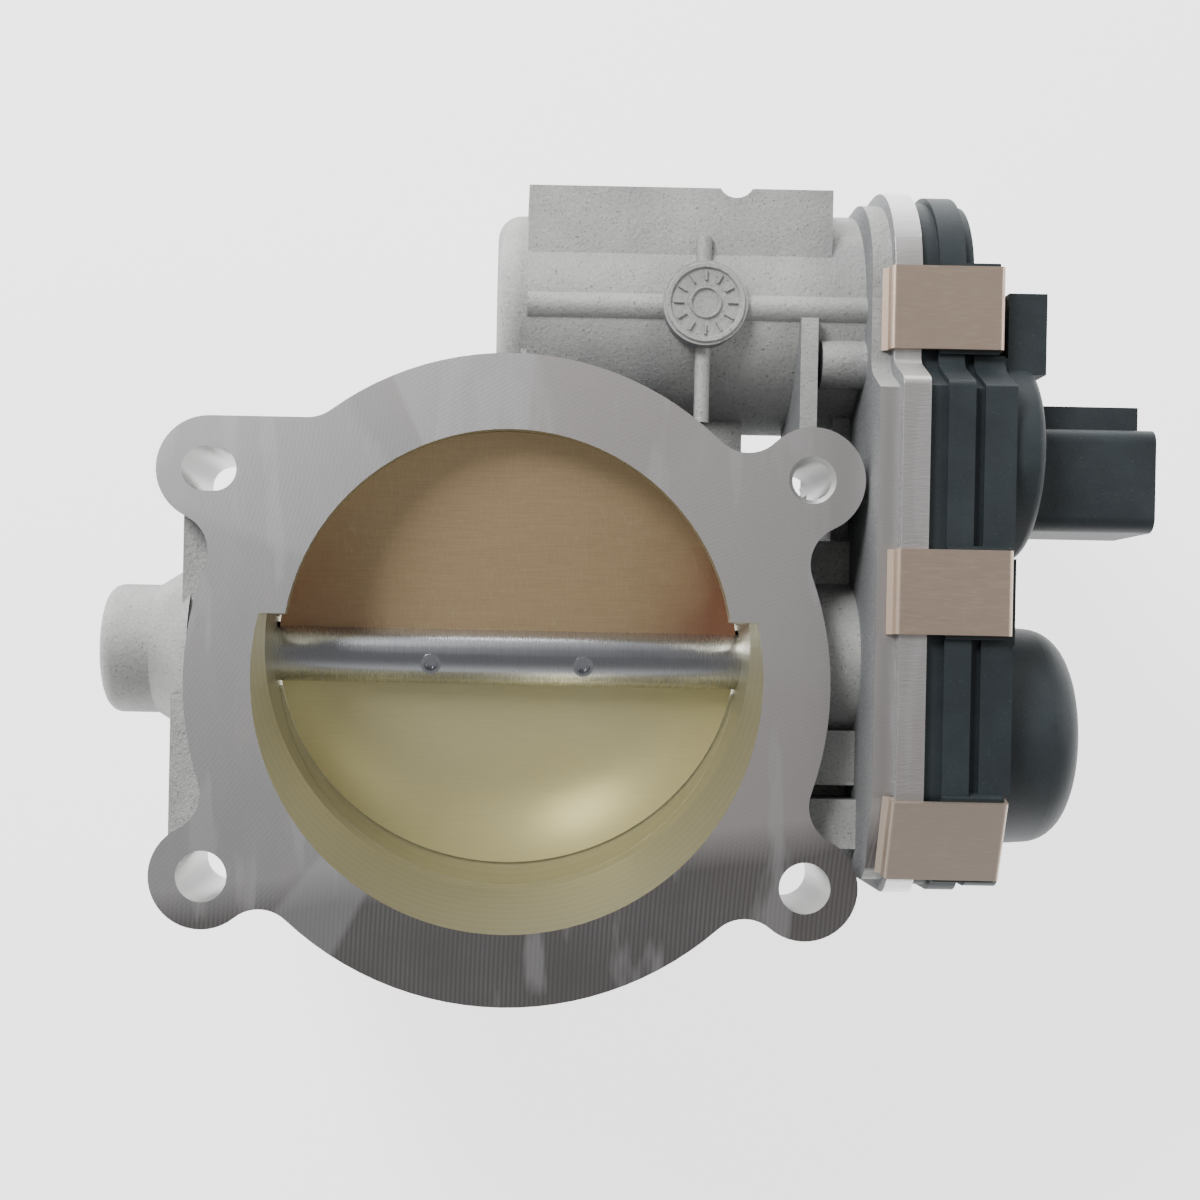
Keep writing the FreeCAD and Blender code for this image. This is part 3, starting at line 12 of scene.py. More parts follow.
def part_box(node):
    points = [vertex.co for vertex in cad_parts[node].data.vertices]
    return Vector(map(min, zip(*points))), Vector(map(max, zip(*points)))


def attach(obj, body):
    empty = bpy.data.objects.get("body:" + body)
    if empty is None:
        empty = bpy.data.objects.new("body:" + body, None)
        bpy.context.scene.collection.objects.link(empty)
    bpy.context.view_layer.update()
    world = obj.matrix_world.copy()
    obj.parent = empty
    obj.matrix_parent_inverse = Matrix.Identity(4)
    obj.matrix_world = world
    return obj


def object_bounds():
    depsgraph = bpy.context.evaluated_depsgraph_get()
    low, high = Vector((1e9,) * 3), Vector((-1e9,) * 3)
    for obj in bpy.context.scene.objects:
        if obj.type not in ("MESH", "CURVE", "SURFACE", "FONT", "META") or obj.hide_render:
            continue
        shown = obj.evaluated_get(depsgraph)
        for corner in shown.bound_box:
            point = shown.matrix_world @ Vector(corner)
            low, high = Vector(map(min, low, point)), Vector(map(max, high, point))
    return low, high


bl_info = {
    "name": "Throttle body looks",
    "version": (1, 0, 0),
    "blender": (4, 5, 0),
    "location": "View3D > Sidebar > Throttle body",
    "description": "Finishes and cast details of an electronic throttle body",
    "category": "Object",
}

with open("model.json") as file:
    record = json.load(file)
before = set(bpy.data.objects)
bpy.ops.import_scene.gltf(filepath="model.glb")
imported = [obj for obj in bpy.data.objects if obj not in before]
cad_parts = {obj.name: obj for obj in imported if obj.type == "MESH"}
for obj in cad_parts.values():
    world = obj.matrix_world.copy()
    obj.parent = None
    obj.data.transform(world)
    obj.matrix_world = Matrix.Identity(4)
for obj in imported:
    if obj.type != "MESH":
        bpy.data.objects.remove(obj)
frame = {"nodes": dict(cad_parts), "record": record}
CAD_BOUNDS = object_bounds()
MM = 0.001

# Datum lines and zones of the casting, in millimetres. The frame's boxes are in metres.
SHAFT_LOW, SHAFT_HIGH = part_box("throttle_shaft")
BORE_Y = 1000 * (SHAFT_LOW.y + SHAFT_HIGH.y) / 2
CAN_LOW, CAN_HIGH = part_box("motor_can")
MOTOR_Y = 1000 * (CAN_LOW.y + CAN_HIGH.y) / 2
RIM_BACK = 67.8
RIM_FACE = 72.7
BOLTS = ((-54.0, 36.5), (54.0, 36.5), (-54.0, -36.5), (54.0, -36.5))
RELIEF_ZONE = 46.9
MOUTH_ZONE = 46.2
BOLT_ZONE = 5.6
DIAL_X = 34.7
DIAL_Y = MOTOR_Y - 0.7
DIAL_Z = -4.0

# Small parts of the dial, in metres.
RING_WIDTH = 0.0013
HUB_WIDTH = 0.0008
HUB_OUT = 0.0006
MARK_COUNT = 12
MARK_WIDTH = 0.00045
MARK_LENGTH = 0.0019

# How far the dial's foot and the floor lie under what they meet, in metres.
SUNK = 0.0002

# Soft boxes: name, place, aim and size in metres, and power in watts.
LAMPS = (
    ("key", (-0.50, 0.62, 0.62), (0.0, 0.0, -0.02), 0.35, 11.0),
    ("fill", (0.75, 0.20, 0.40), (0.05, 0.0, -0.02), 0.4, 1.6),
    ("rake", (-0.1, 0.8, 0.2), (0.0, 0.02, -0.03), 0.3, 2.2),
)
# Sky brightness, from the horizon's to the one overhead.
SKY_RAMP = (("From Min", 0.15), ("From Max", 0.92), ("To Min", 0.85), ("To Max", 0.16))
FLOOR_GLOW = 2.0
FLOOR_SPAN = 3.0
EYE_Y = 0.00275
EYE_SHIFT = (0.0775, 0.0525)


# ---- sizes and colours a user may change ---------------------------------------------------

def colour(name, note, default):
    """One colour setting."""
    return FloatVectorProperty(name=name, description=note, default=default,
                               size=3, min=0.0, max=1.0, subtype="COLOR")


def length(name, note, default):
    """One length setting, in metres."""
    return FloatProperty(name=name, description=note, default=default,
                         min=0.0, subtype="DISTANCE", unit="LENGTH")


class CastingSettings(bpy.types.PropertyGroup):
    """Aluminium casting."""

    cast: colour("Cast skin", "Blasted as-cast surface", (0.53, 0.527, 0.505))
    # The shade colour lies in random darker pools and, as painted shade, on faces turned away from
    # the top.
    shade: colour("Cast shade", "Darker pools in the cast skin", (0.17, 0.18, 0.195))
    milled: colour("Milled", "Freshly cut flange face", (0.62, 0.585, 0.57))
    # Painted reflections on the flange face: a cool tone in streaks outside its right part, and a
    # near-black tone over its bottom part.
    milled_painted_cool_reflection: colour("Milled, cool side", "Flange face on its cool side", (0.52, 0.535, 0.56))
    milled_painted_dark_reflection: colour("Milled, dark side", "Flange face on its dark side", (0.19, 0.173, 0.172))
    bored: colour("Bored", "Relief and bore", (0.47, 0.45, 0.315))
    edge: colour("Rim", "Sawn edge of the gear case", (0.90, 0.90, 0.89))


class MetalSettings(bpy.types.PropertyGroup):
    """Turned and rolled metal parts."""

    # The two plate colours are painted light: painted shade makes the half above the shaft brown
    # and dark, a painted highlight makes the half below it bright.
    brass_upper_painted_shade: colour("Plate, upper half", "Brown brushed half", (0.42, 0.298, 0.165))
    brass_lower_painted_highlight: colour("Plate, lower half", "Bright half", (0.80, 0.72, 0.40))
    flush: colour("Plate tarnish", "Red bloom at the plate's sides", (0.24, 0.075, 0.045))
    shaft: colour("Shaft", "Ground steel", (0.56, 0.57, 0.61))
    clip: colour("Clip", "Bronze clip steel", (0.61, 0.47, 0.37))


class CoverSettings(bpy.types.PropertyGroup):
    """Moulded cover."""

    plastic: colour("Cover", "Glass filled plastic", (0.016, 0.023, 0.027))
    # The sheen colour is a painted sheen, laid in random lighter clouds over the cover.
    sheen: colour("Cover, painted_sheen", "Lighter bloom on the plastic", (0.032, 0.043, 0.048))
    grain: length("Grain", "Size of the moulded grain", 0.0007)


class DialSettings(bpy.types.PropertyGroup):
    """Date dial cast into the motor housing."""

    radius: length("Outer radius", "Outside of the raised ring", 0.0074)
    hub: length("Hub radius", "Centre of the dial", 0.0025)
    raised: length("Height", "How far the marks stand up", 0.00045)


class StageSettings(bpy.types.PropertyGroup):
    """Camera, light and floor."""

    floor: colour("Floor", "Pale paper", (0.93, 0.93, 0.93))
    lens: FloatProperty(name="Lens", description="Focal length on a 36 mm sensor",
                        default=47.0, min=10.0, unit="CAMERA")
    height: length("Camera height", "Camera above the manifold face", 0.28)
    roll: FloatProperty(name="Roll", description="Turn of the camera about its view",
                        default=math.radians(1.15), subtype="ANGLE", unit="ROTATION")


SETTINGS = {
    "throttle_casting": CastingSettings,
    "throttle_metal": MetalSettings,
    "throttle_cover": CoverSettings,
    "throttle_dial": DialSettings,
    "throttle_stage": StageSettings,
}


# ---- shader maths --------------------------------------------------------------------------

class Value:
    """One number of a material. Arithmetic on it adds Math nodes."""

    def __init__(self, finish, socket):
        self.finish = finish
        self.socket = socket

    def maths(self, operation, *others, clamp=False):
        sockets = {0: self}
        for index, other in enumerate(others):
            sockets[index + 1] = other
        options = {"operation": operation, "use_clamp": clamp}
        return self.finish.node("ShaderNodeMath", options, sockets)

    def __add__(self, other):
        return self.maths("ADD", other)

    def __sub__(self, other):
        return self.maths("SUBTRACT", other)

    def __rsub__(self, other):
        return (self * -1.0) + other

    def __mul__(self, other):
        return self.maths("MULTIPLY", other)

    def __truediv__(self, other):
        return self.maths("DIVIDE", other)

    def __pow__(self, other):
        return self.maths("POWER", other)

    __radd__ = __add__
    __rmul__ = __mul__

    def absolute(self):
        return self.maths("ABSOLUTE")

    def sine(self):
        return self.maths("SINE")

    def most(self, other):
        return self.maths("MAXIMUM", other)

    def above(self, level, soft):
        """0 under the level and 1 over it, with a soft step."""
        return ((self - level) / soft).maths("ADD", 0.5, clamp=True)

    def within(self, low, high, soft):
        """1 between two levels, with soft sides."""
        return self.above(low, soft) * (1.0 - self.above(high, soft))


class Finish:
    """A material while it is put together."""

    def __init__(self, name, **skin):
        self.material = bpy.data.materials.new(name)
        self.material.use_nodes = True
        self.tree = self.material.node_tree
        self.skin = self.tree.nodes["Principled BSDF"]
        for key, value in skin.items():
            self.set(key.replace("_", " ").title(), value)

    def feed(self, socket, value):
        """Links or sets one socket."""
        if isinstance(value, Value):
            self.tree.links.new(value.socket, socket)
        elif isinstance(value, (tuple, list)) and (len(value), len(socket.default_value)) == (3, 4):
            socket.default_value = (*value, 1.0)
        else:
            socket.default_value = value

    def set(self, name, value):
        self.feed(self.skin.inputs[name], value)

    def node(self, kind, options=None, sockets=None, output=0):
        """Adds a node, sets it, feeds its sockets, and gives one output."""
        node = self.tree.nodes.new(kind)
        for key, value in (options or {}).items():
            setattr(node, key, value)
        for key, value in (sockets or {}).items():
            self.feed(node.inputs[key], value)
        return Value(self, node.outputs[output])

    def place(self):
        """Object position in millimetres, as a vector and then its three parts."""
        where = self.node("ShaderNodeTexCoord", output="Object")
        options = {"operation": "SCALE"}
        where = self.node("ShaderNodeVectorMath", options, {0: where, "Scale": 1 / MM})
        return where, *self.parts(where)

    def parts(self, vector):
        split = self.node("ShaderNodeSeparateXYZ", sockets={0: vector}).socket.node
        return [Value(self, output) for output in split.outputs]

    def facing(self):
        """The surface's own direction, as three Values."""
        return self.parts(self.node("ShaderNodeTexCoord", output="Normal"))

    def vector(self, x, y, z):
        return self.node("ShaderNodeCombineXYZ", sockets={0: x, 1: y, 2: z})

    def noise(self, where, scale, detail=4.0, rough=0.55):
        sockets = {"Vector": where, "Scale": scale, "Detail": detail, "Roughness": rough}
        return self.node("ShaderNodeTexNoise", sockets=sockets)

    def mix(self, share, first, second):
        """Colour mix."""
        options = {"data_type": "RGBA"}
        sockets = {0: share, 6: first, 7: second}
        return self.node("ShaderNodeMix", options, sockets, output=2)

    def bump(self, height, strength, distance):
        """Puts a height, in its own units, under the surface."""
        sockets = {"Height": height, "Strength": strength, "Distance": distance}
        self.set("Normal", self.node("ShaderNodeBump", sockets=sockets))


def settings(name):
    return getattr(bpy.context.scene, name)


def rgb(value):
    return tuple(value)


# ---- finishes ------------------------------------------------------------------------------

def cast_aluminium():
    """Blasted casting with milled, bored and sawn faces."""
    tone = settings("throttle_casting")
    finish = Finish("cast_aluminium", metallic=0.55)
    where, x, y, z = finish.place()
    nz = finish.facing()[2]

    grain = finish.noise(where, 1.9, 3.0, 0.7)
    pools = finish.noise(where, 0.055, 3.0, 0.6)
    skin = finish.mix(pools.above(0.56, 0.5) * 0.55, rgb(tone.cast), rgb(tone.shade))
    # painted shade: faces turned away from the top take the shade colour
    skin = finish.mix(nz.above(0.15, 0.7), rgb(tone.shade), skin)
    skin = finish.mix(grain.above(0.62, 0.1) * 0.35, skin, (0.72, 0.72, 0.70))
    skin = finish.mix(grain.above(0.36, 0.1) * -1.0 + 1.0, skin, (0.20, 0.20, 0.20))

    # turned and milled zones
    face = z.above(-0.35, 0.1) * nz.above(0.9, 0.05)
    radius = (x * x + (y - BORE_Y) * (y - BORE_Y)) ** 0.5
    mouth = (x * x + y * y) ** 0.5
    inside = (1.0 - radius.above(RELIEF_ZONE, 0.2)).most(1.0 - mouth.above(MOUTH_ZONE, 0.1))
    inside = inside * (1.0 - nz.above(0.97, 0.02) * z.above(-1.0, 0.5))
    rim = x.within(RIM_BACK + 0.1, RIM_FACE, 0.15)

    # milling: wide arcs of the cutter crossing the face, a new sweep on each side
    warp = finish.noise(where, 0.02, 2.0) * 26.0
    sweeps = (
        ((-150.0, 62.0), 8.3),
        ((96.0, -110.0), 8.9),
        ((310.0, -60.0), 7.6),
    )
    side = x * 0.83 + y * 0.55 + warp
    low_side = y * -1.0 - 26.0 + x * 0.12 + warp * 0.4
    marks = []
    for (cx, cy), pitch in sweeps:
        reach = ((x - cx) * (x - cx) + (y - cy) * (y - cy)) ** 0.5
        marks.append((reach * pitch).sine())
    right = side.above(22.0, 10.0)
    below = low_side.above(14.0, 7.0)
    mark = marks[0] * (1.0 - right) + marks[1] * right
    mark = mark * (1.0 - below) + marks[2] * below

    # painted reflections: cool streaks outside the right part of the face, the plain milled colour
    # on the right part, and a near-black painted dark reflection over the bottom part
    streak = finish.noise(finish.vector(x * 0.05, y * 0.012, 0.0), 5.0, 5.0, 0.65)
    cool = finish.mix(streak.above(0.5, 0.6), rgb(tone.milled_painted_cool_reflection), rgb(tone.milled))
    warm = finish.mix(right, cool, rgb(tone.milled))
    milled = finish.mix(below * 0.9, warm, rgb(tone.milled_painted_dark_reflection))
    gleam = finish.noise(finish.vector(x * 0.11, y * 0.02, 3.0), 1.6, 3.0, 0.5)
    milled = finish.mix(gleam.above(0.60, 0.08) * 0.4, milled, (0.78, 0.77, 0.77))
    fade = finish.noise(where, 0.06, 3.0, 0.6).above(0.5, 0.4)
    # facets where one pass of the cutter ends and the next begins, laid as lighter sectors: painted
    # highlights
    angle = (y - 8.0).maths("ARCTAN2", x)
    for centre, width, edge, share in ((1.75, 0.26, 0.02, 0.42), (2.5, 0.3, 0.05, 0.22),
                                       (0.35, 0.5, 0.12, 0.16), (-2.15, 0.1, 0.02, 0.3)):
        facet = angle.within(centre - width, centre + width, edge)
        milled = finish.mix(facet * share, milled, (0.86, 0.86, 0.875))
    milled = finish.mix((mark * 0.5 + 0.5) * (0.04 + fade * 0.12), milled, (0.88, 0.87, 0.87))

    rings = (radius * 9.0).sine() * 0.5 + (z * 21.0).sine() * 0.5
    bored = finish.mix((rings * 0.5 + 0.5) * 0.22, rgb(tone.bored), (0.70, 0.69, 0.58))
    file_marks = finish.noise(finish.vector(x * 0.25, y * 2.2, z * 2.2), 1.3, 3.0, 0.7)
    sawn = finish.mix(file_marks.above(0.5, 0.5) * 0.6, rgb(tone.edge), (0.55, 0.55, 0.55))

    holes = None
    for bolt_x, bolt_y in BOLTS:
        reach = ((x - bolt_x) * (x - bolt_x) + (y - bolt_y) * (y - bolt_y)) ** 0.5
        bored_hole = 1.0 - reach.above(BOLT_ZONE, 0.2)
        holes = bored_hole if holes is None else holes.most(bored_hole)
    holes = holes * (1.0 - nz.above(0.8, 0.1))

    base = finish.mix(rim, skin, sawn)
    base = finish.mix(inside, base, bored)
    base = finish.mix(holes, base, (0.62, 0.62, 0.61))
    base = finish.mix(face, base, milled)
    finish.set("Base Color", base)

    cut = face.most(inside).most(rim).most(holes)
    finish.set("Roughness", 0.62 - cut * 0.24 + grain * 0.08)
    finish.set("Metallic", 0.45 + cut * 0.45)
    rough = finish.noise(where, 1.1, 5.0, 0.72)
    height = rough * (1.0 - cut) + mark * face * 0.006 + rings * inside * 0.01
    finish.bump(height + file_marks * rim * 0.25, 0.55, 0.00045)
    return finish.material


def plate_brass():
    """Rolled brass, brushed above the shaft: painted shade makes the half above the shaft brown and
    dark, and a painted highlight makes the half below it bright.
    """
    tone = settings("throttle_metal")
    finish = Finish("plate_brass", metallic=0.85)
    where, x, y, z = finish.place()
    brushed = finish.noise(finish.vector(x * 0.10, y * 3.4, z * 3.4), 1.6, 4.0, 0.6)
    weave = finish.noise(finish.vector(x * 4.5, y * 0.4, z * 0.4), 1.2, 3.0, 0.6)
    broad = finish.noise(where, 0.045, 3.0, 0.5)
    upper = (y - BORE_Y).above(0.0, 1.0)

    # painted shade: the half above the shaft is brown and dark
    high = finish.mix(brushed.above(0.5, 0.5) * 0.5, rgb(tone.brass_upper_painted_shade), (0.62, 0.47, 0.28))
    high = finish.mix(weave.above(0.6, 0.2) * 0.2, high, (0.70, 0.56, 0.36))
    sides = x.absolute().above(30.0, 16.0) * (1.0 - (y - BORE_Y).above(24.0, 22.0))
    high = finish.mix(sides * broad.above(0.35, 0.5) * 0.75, high, rgb(tone.flush))
    # painted highlight: the half below the shaft is bright
    low = finish.mix(broad.above(0.5, 0.4), rgb(tone.brass_lower_painted_highlight), (0.80, 0.74, 0.44))
    low = finish.mix(brushed.above(0.5, 0.6) * 0.25, low, (0.40, 0.36, 0.19))

    slant = finish.vector(x * 0.9 + y * 0.35, y * 0.08 - x * 0.02, 0.0)
    scratch = finish.noise(slant, 0.9, 2.0, 0.4)
    scratch = (scratch - 0.5).absolute().above(0.004, 0.004) * -1.0 + 1.0
    patch = finish.noise(where, 0.09, 1.0)
    scratch = scratch * patch.above(0.6, 0.05) * upper
    base = finish.mix(upper, low, high)
    base = finish.mix(scratch * 0.35, base, (0.62, 0.52, 0.36))
    finish.set("Base Color", base)
    finish.set("Roughness", 0.26 + upper * 0.22 + brushed * 0.10)
    finish.set("Metallic", 0.45 - upper * 0.05)
    finish.bump(brushed * (0.3 + upper * 0.7) + weave * 0.2 * upper, 0.25, 0.00008)
    return finish.material


def bright_steel():
    """Ground shaft steel."""
    tone = settings("throttle_metal")
    finish = Finish("bright_steel", metallic=1.0)
    _, x, y, z = finish.place()
    ground = finish.noise(finish.vector(x * 3.2, y * 0.05, z * 0.05), 1.4, 3.0, 0.6)
    stain = finish.noise(finish.vector(x * 0.3, y, z), 0.3, 3.0, 0.6)
    base = finish.mix(ground.above(0.5, 0.6) * 0.3, rgb(tone.shaft), (0.64, 0.64, 0.67))
    base = finish.mix(stain.above(0.62, 0.12) * 0.25, base, (0.42, 0.40, 0.46))
    finish.set("Base Color", base)
    finish.set("Roughness", 0.24 + ground * 0.06)
    finish.bump(ground, 0.06, 0.00001)
    return finish.material


def clip_steel():
    """Satin bronze-coloured strip."""
    tone = settings("throttle_metal")
    finish = Finish("clip_steel", metallic=0.8)
    where, x, y, z = finish.place()
    rolled = finish.noise(finish.vector(x * 0.35, y * 2.6, z * 2.6), 1.1, 4.0, 0.6)
    cloud = finish.noise(where, 0.12, 3.0, 0.55)
    base = finish.mix(cloud.above(0.55, 0.35) * 0.35, rgb(tone.clip), (0.55, 0.44, 0.36))
    # painted shade: clips below about y = -10 mm are darkened
    low = 1.0 - y.above(-10.0, 10.0)
    base = finish.mix(low * 0.45, base, (0.46, 0.42, 0.37))
    base = finish.mix(rolled.above(0.6, 0.2) * 0.2, base, (0.80, 0.66, 0.54))
    finish.set("Base Color", base)
    finish.set("Roughness", 0.34 + rolled * 0.12)
    finish.bump(rolled + cloud, 0.2, 0.00006)
    return finish.material


def cover_plastic():
    """Glass filled black plastic with a moulded grain."""
    tone = settings("throttle_cover")
    finish = Finish("cover_plastic", metallic=0.0)
    where = finish.place()[0]
    scale = 0.001 / tone.grain
    grain = finish.noise(where, scale * 1.5, 3.0, 0.6)
    cloud = finish.noise(where, 0.09, 4.0, 0.6)
    # painted sheen in random lighter clouds
    base = finish.mix(cloud.above(0.55, 0.35) * 0.7, rgb(tone.plastic), rgb(tone.sheen))
    base = finish.mix(grain.above(0.68, 0.08) * 0.35, base, (0.09, 0.11, 0.12))
    finish.set("Base Color", base)
    finish.set("Roughness", 0.44 + grain * 0.12 + cloud * 0.08)
    finish.bump(grain, 0.3, 0.00012)
    return finish.material


def plain_metal(name, colours, rough, stretch=(1.0, 1.0, 1.0), metallic=0.95):
    """Machined or plated metal with fine marks along one direction."""
    finish = Finish(name, metallic=metallic)
    where, x, y, z = finish.place()
    marks = finish.vector(x * stretch[0], y * stretch[1], z * stretch[2])
    fine = finish.noise(marks, 1.2, 4.0, 0.6)
    cloud = finish.noise(where, 0.25, 3.0, 0.5)
    base = finish.mix(fine.above(0.5, 0.5) * 0.6, colours[0], colours[1])
    base = finish.mix(cloud.above(0.6, 0.2) * 0.25, base, tuple(0.6 * part for part in colours[0]))
    finish.set("Base Color", base)
    finish.set("Roughness", rough + fine * 0.12)
    finish.bump(fine, 0.2, 0.00005)
    return finish.material


def plain_matte(name, colours, rough, scale):
    """Moulded, sintered or coated surface with a fine grain."""
    finish = Finish(name)
    where = finish.place()[0]
    grain = finish.noise(where, scale, 4.0, 0.6)
    cloud = finish.noise(where, scale * 0.12, 3.0, 0.5)
    base = finish.mix(grain.above(0.55, 0.3) * 0.6, colours[0], colours[1])
    base = finish.mix(cloud.above(0.6, 0.2) * 0.3, base, tuple(0.7 * part for part in colours[0]))
    finish.set("Base Color", base)
    finish.set("Roughness", rough + grain * 0.1)
    finish.bump(grain, 0.3, 0.0001)
    return finish.material


def wound_copper():
    """Lacquered wire, as lines along the coil."""
    finish = Finish("copper_wire", metallic=0.8)
    where, _, y, z = finish.place()
    turns = ((y - MOTOR_Y) * 6.0 + z * 2.0).sine()
    gloss = finish.noise(where, 0.6, 3.0, 0.6)
    base = finish.mix(turns * 0.5 + 0.5, (0.24, 0.07, 0.025), (0.62, 0.24, 0.09))
    finish.set("Base Color", finish.mix(gloss.above(0.6, 0.2) * 0.3, base, (0.5, 0.3, 0.16)))
    finish.set("Roughness", 0.3 + gloss * 0.15)
    finish.bump(turns, 0.4, 0.00012)
    return finish.material


def circuit_green():
    """Solder mask with faint copper tracks under it."""
    finish = Finish("board_green")
    where, _, y, z = finish.place()
    tracks = (y * 2.4).sine().above(0.75, 0.1).most((z * 2.1).sine().above(0.82, 0.1))
    speck = finish.noise(where, 1.4, 3.0, 0.6)
    base = finish.mix(tracks * 0.6, (0.012, 0.10, 0.05), (0.03, 0.19, 0.09))
    finish.set("Base Color", finish.mix(speck.above(0.62, 0.1) * 0.3, base, (0.06, 0.22, 0.12)))
    finish.set("Roughness", 0.32 + speck * 0.1)
    finish.bump(tracks + speck * 0.3, 0.2, 0.00005)
    return finish.material


def build_finishes():
    """All finishes by their record name."""
    return {
        "cast_aluminium": cast_aluminium(),
        "bright_steel": bright_steel(),
        "plate_brass": plate_brass(),
        "clip_steel": clip_steel(),
        "cover_plastic": cover_plastic(),
        "bearing_steel": plain_metal(
            "bearing_steel", ((0.55, 0.56, 0.58), (0.72, 0.72, 0.73)), 0.18, (0.3, 2.0, 2.0)),
        "zinc_steel": plain_metal("zinc_steel", ((0.52, 0.51, 0.46), (0.66, 0.65, 0.60)), 0.32),
        "spring_steel": plain_metal("spring_steel", ((0.28, 0.29, 0.31), (0.42, 0.43, 0.45)), 0.3),
        "lamination_steel": plain_metal(
            "lamination_steel", ((0.30, 0.31, 0.33), (0.46, 0.47, 0.48)), 0.42, (6.0, 0.4, 0.4)),
        "copper_alloy": plain_metal(
            "copper_alloy", ((0.66, 0.33, 0.17), (0.80, 0.50, 0.30)), 0.28, (0.3, 3.0, 3.0)),
        "tinned_copper": plain_metal(
            "tinned_copper", ((0.62, 0.60, 0.55), (0.75, 0.73, 0.69)), 0.25, (0.3, 3.0, 3.0)),
        "copper_wire": wound_copper(),
        "seal_rubber": plain_matte(
            "seal_rubber", ((0.018, 0.018, 0.019), (0.05, 0.05, 0.052)), 0.6, 1.6),
        "gear_nylon": plain_matte(
            "gear_nylon", ((0.52, 0.49, 0.40), (0.64, 0.61, 0.52)), 0.42, 1.3),
        "ferrite": plain_matte("ferrite", ((0.05, 0.048, 0.047), (0.12, 0.115, 0.11)), 0.55, 2.2),
        "carbon": plain_matte("carbon", ((0.03, 0.03, 0.032), (0.09, 0.085, 0.085)), 0.5, 2.6),
        "chip_black": plain_matte(
            "chip_black", ((0.02, 0.02, 0.022), (0.05, 0.05, 0.055)), 0.5, 3.0),
        "board_green": circuit_green(),
    }


# ---- mesh helpers --------------------------------------------------------------------------

def new_piece(name, mesh, body, finish):
    """Puts a finished bmesh in the scene as a piece that rides on a body."""
    bmesh.ops.remove_doubles(mesh, verts=mesh.verts, dist=1e-6)
    bmesh.ops.recalc_face_normals(mesh, faces=mesh.faces)
    data = bpy.data.meshes.new(name)
    mesh.to_mesh(data)
    mesh.free()
    piece = bpy.data.objects.new(name, data)
    bpy.context.scene.collection.objects.link(piece)
    data.materials.append(finish)
    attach(piece, body)
    return piece


def ring_wall(mesh, centre, outer, inner, low, high, steps=48):
    """Adds a flat ring with a small bevelled top, axis along Z, all in metres."""
    profile = ((inner, low), (outer, low), (outer - (high - low) * 0.5, high),
               (inner + (high - low) * 0.5, high))
    verts = [mesh.verts.new((centre.x + reach, centre.y, level)) for reach, level in profile]
    edges = [mesh.edges.new((verts[k], verts[(k + 1) % len(verts)])) for k in range(len(verts))]
    bmesh.ops.spin(mesh, geom=verts + edges, cent=(centre.x, centre.y, 0.0), axis=(0, 0, 1),
                   angle=2 * math.pi, steps=steps, use_merge=True)


def bar(mesh, centre, size, turn=0.0):
    """Adds a tapered bar, size across, along and up, turned about Z."""
    made = bmesh.ops.create_cube(mesh, size=1.0)["verts"]
    bmesh.ops.scale(mesh, verts=made, vec=size)
    top = [vert for vert in made if vert.co.z > 0]
    bmesh.ops.scale(mesh, verts=top, vec=(0.6, 0.9, 1.0))
    bmesh.ops.rotate(mesh, verts=made, cent=(0, 0, 0), matrix=Matrix.Rotation(turn, 3, "Z"))
    bmesh.ops.translate(mesh, verts=made, vec=centre)


# ---- operators -----------------------------------------------------------------------------

FINISHES = {}


class ApplyFinishes(bpy.types.Operator):
    """Give every CAD node its finish"""

    bl_idname = "throttle.apply_finishes"
    bl_label = "Apply finishes"

    def execute(self, context):
        FINISHES.update(build_finishes())
        slots = {entry["node"]: entry["material_slot"] for entry in frame["record"]["subparts"]}
        for name, piece in frame["nodes"].items():
            finish = FINISHES[slots[name]]
            if not piece.data.materials:
                piece.data.materials.append(finish)
            for index in range(len(piece.data.materials)):
                piece.data.materials[index] = finish
        return {"FINISHED"}


class AddDateDial(bpy.types.Operator):
    """Cast date dial on the motor housing"""

    bl_idname = "throttle.add_date_dial"
    bl_label = "Add date dial"

    def execute(self, context):
        size = settings("throttle_dial")
        mesh = bmesh.new()
        centre = Vector((DIAL_X, DIAL_Y, 0.0)) * MM
        base = DIAL_Z * MM - SUNK
        top = DIAL_Z * MM + size.raised
        hub = size.hub + HUB_OUT
        ring_wall(mesh, centre, size.radius, size.radius - RING_WIDTH, base, top)
        ring_wall(mesh, centre, hub, hub - HUB_WIDTH, base, top)
        middle = (size.radius - RING_WIDTH + size.hub) / 2 + HUB_OUT
        for index in range(MARK_COUNT):
            turn = index * 2 * math.pi / MARK_COUNT
            spot = centre + Vector((math.sin(turn), math.cos(turn), 0)) * middle
            mark_size = (MARK_WIDTH, MARK_LENGTH, top - base)
            bar(mesh, (spot.x, spot.y, (base + top) / 2), mark_size, -turn)
        new_piece("date_dial", mesh, "root", FINISHES["cast_aluminium"])
        return {"FINISHED"}


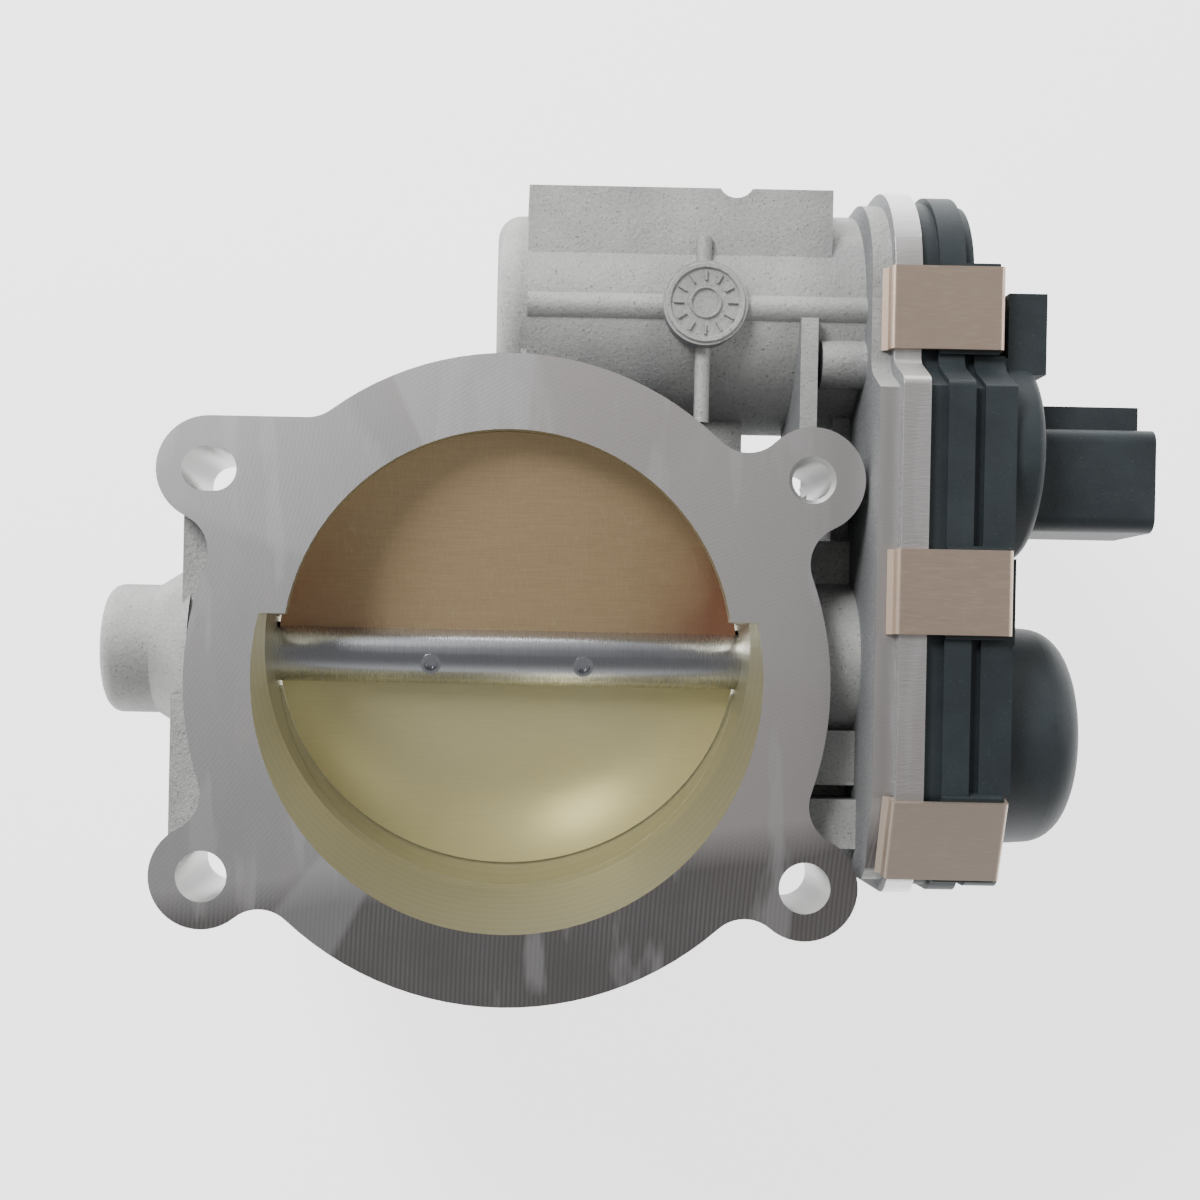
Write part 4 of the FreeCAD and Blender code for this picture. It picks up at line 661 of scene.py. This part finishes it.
class SetStage(bpy.types.Operator):
    """Floor, soft lights and camera"""

    bl_idname = "throttle.set_stage"
    bl_label = "Set stage"

    def execute(self, context):
        stage = settings("throttle_stage")
        low, _ = CAD_BOUNDS
        mesh = bmesh.new()
        bmesh.ops.create_grid(mesh, x_segments=1, y_segments=1, size=FLOOR_SPAN,
                              matrix=Matrix.Translation((0, 0, low[2] - SUNK)))
        data = bpy.data.meshes.new("floor")
        mesh.to_mesh(data)
        mesh.free()
        floor = bpy.data.objects.new("floor", data)
        context.scene.collection.objects.link(floor)
        paper = Finish("floor_paper", base_color=rgb(stage.floor), roughness=0.9)
        data.materials.append(paper.material)
        paper.set("Emission Color", (1.0, 1.0, 1.0))
        paper.set("Emission Strength", FLOOR_GLOW)

        world = bpy.data.worlds.new("soft_white")
        context.scene.world = world
        world.use_nodes = True
        sky = world.node_tree
        where = sky.nodes.new("ShaderNodeTexCoord")
        split = sky.nodes.new("ShaderNodeSeparateXYZ")
        ramp = sky.nodes.new("ShaderNodeMapRange")
        ramp.interpolation_type = "SMOOTHSTEP"
        sky.links.new(where.outputs["Generated"], split.inputs[0])
        sky.links.new(split.outputs["Z"], ramp.inputs["Value"])
        for key, level in SKY_RAMP:
            ramp.inputs[key].default_value = level
        sky.nodes["Background"].inputs["Color"].default_value = (1.0, 1.0, 1.0, 1.0)
        sky.links.new(ramp.outputs["Result"], sky.nodes["Background"].inputs["Strength"])
        for name, spot, aim, size, power in LAMPS:
            light = bpy.data.lights.new(name, "AREA")
            light.size = size
            light.energy = power
            lamp = bpy.data.objects.new(name, light)
            lamp.location = spot
            away = Vector(spot) - Vector(aim)
            lamp.rotation_euler = away.to_track_quat("Z", "Y").to_euler()
            context.scene.collection.objects.link(lamp)

        camera = bpy.data.cameras.new("camera")
        camera.lens = stage.lens
        camera.sensor_width = 36.0
        camera.shift_x, camera.shift_y = EYE_SHIFT
        camera.clip_start = 0.01
        eye = bpy.data.objects.new("camera", camera)
        eye.location = (0.0, EYE_Y, stage.height)
        eye.rotation_euler = (0.0, 0.0, stage.roll)
        context.scene.collection.objects.link(eye)
        context.scene.camera = eye
        return {"FINISHED"}


OPERATORS = (ApplyFinishes, AddDateDial, SetStage)


class ThrottlePanel(bpy.types.Panel):
    """Shows a button for each operator and the settings"""

    bl_idname = "VIEW3D_PT_throttle_body"
    bl_label = "Throttle body"
    bl_space_type = "VIEW_3D"
    bl_region_type = "UI"
    bl_category = "Throttle body"

    def draw(self, context):
        for operator in OPERATORS:
            self.layout.operator(operator.bl_idname)
        for name, group in SETTINGS.items():
            box = self.layout.box()
            box.label(text=group.__doc__)
            for key in group.__annotations__:
                box.prop(getattr(context.scene, name), key)


def register():
    for group in SETTINGS.values():
        bpy.utils.register_class(group)
    for operator in OPERATORS:
        bpy.utils.register_class(operator)
    bpy.utils.register_class(ThrottlePanel)
    for name, group in SETTINGS.items():
        setattr(bpy.types.Scene, name, PointerProperty(type=group))


def unregister():
    for name in SETTINGS:
        delattr(bpy.types.Scene, name)
    bpy.utils.unregister_class(ThrottlePanel)
    for operator in reversed(OPERATORS):
        bpy.utils.unregister_class(operator)
    for group in reversed(SETTINGS.values()):
        bpy.utils.unregister_class(group)


def main():
    register()
    for operator in OPERATORS:
        group, name = operator.bl_idname.split(".")
        getattr(getattr(bpy.ops, group), name)()


if __name__ == "__main__":
    main()
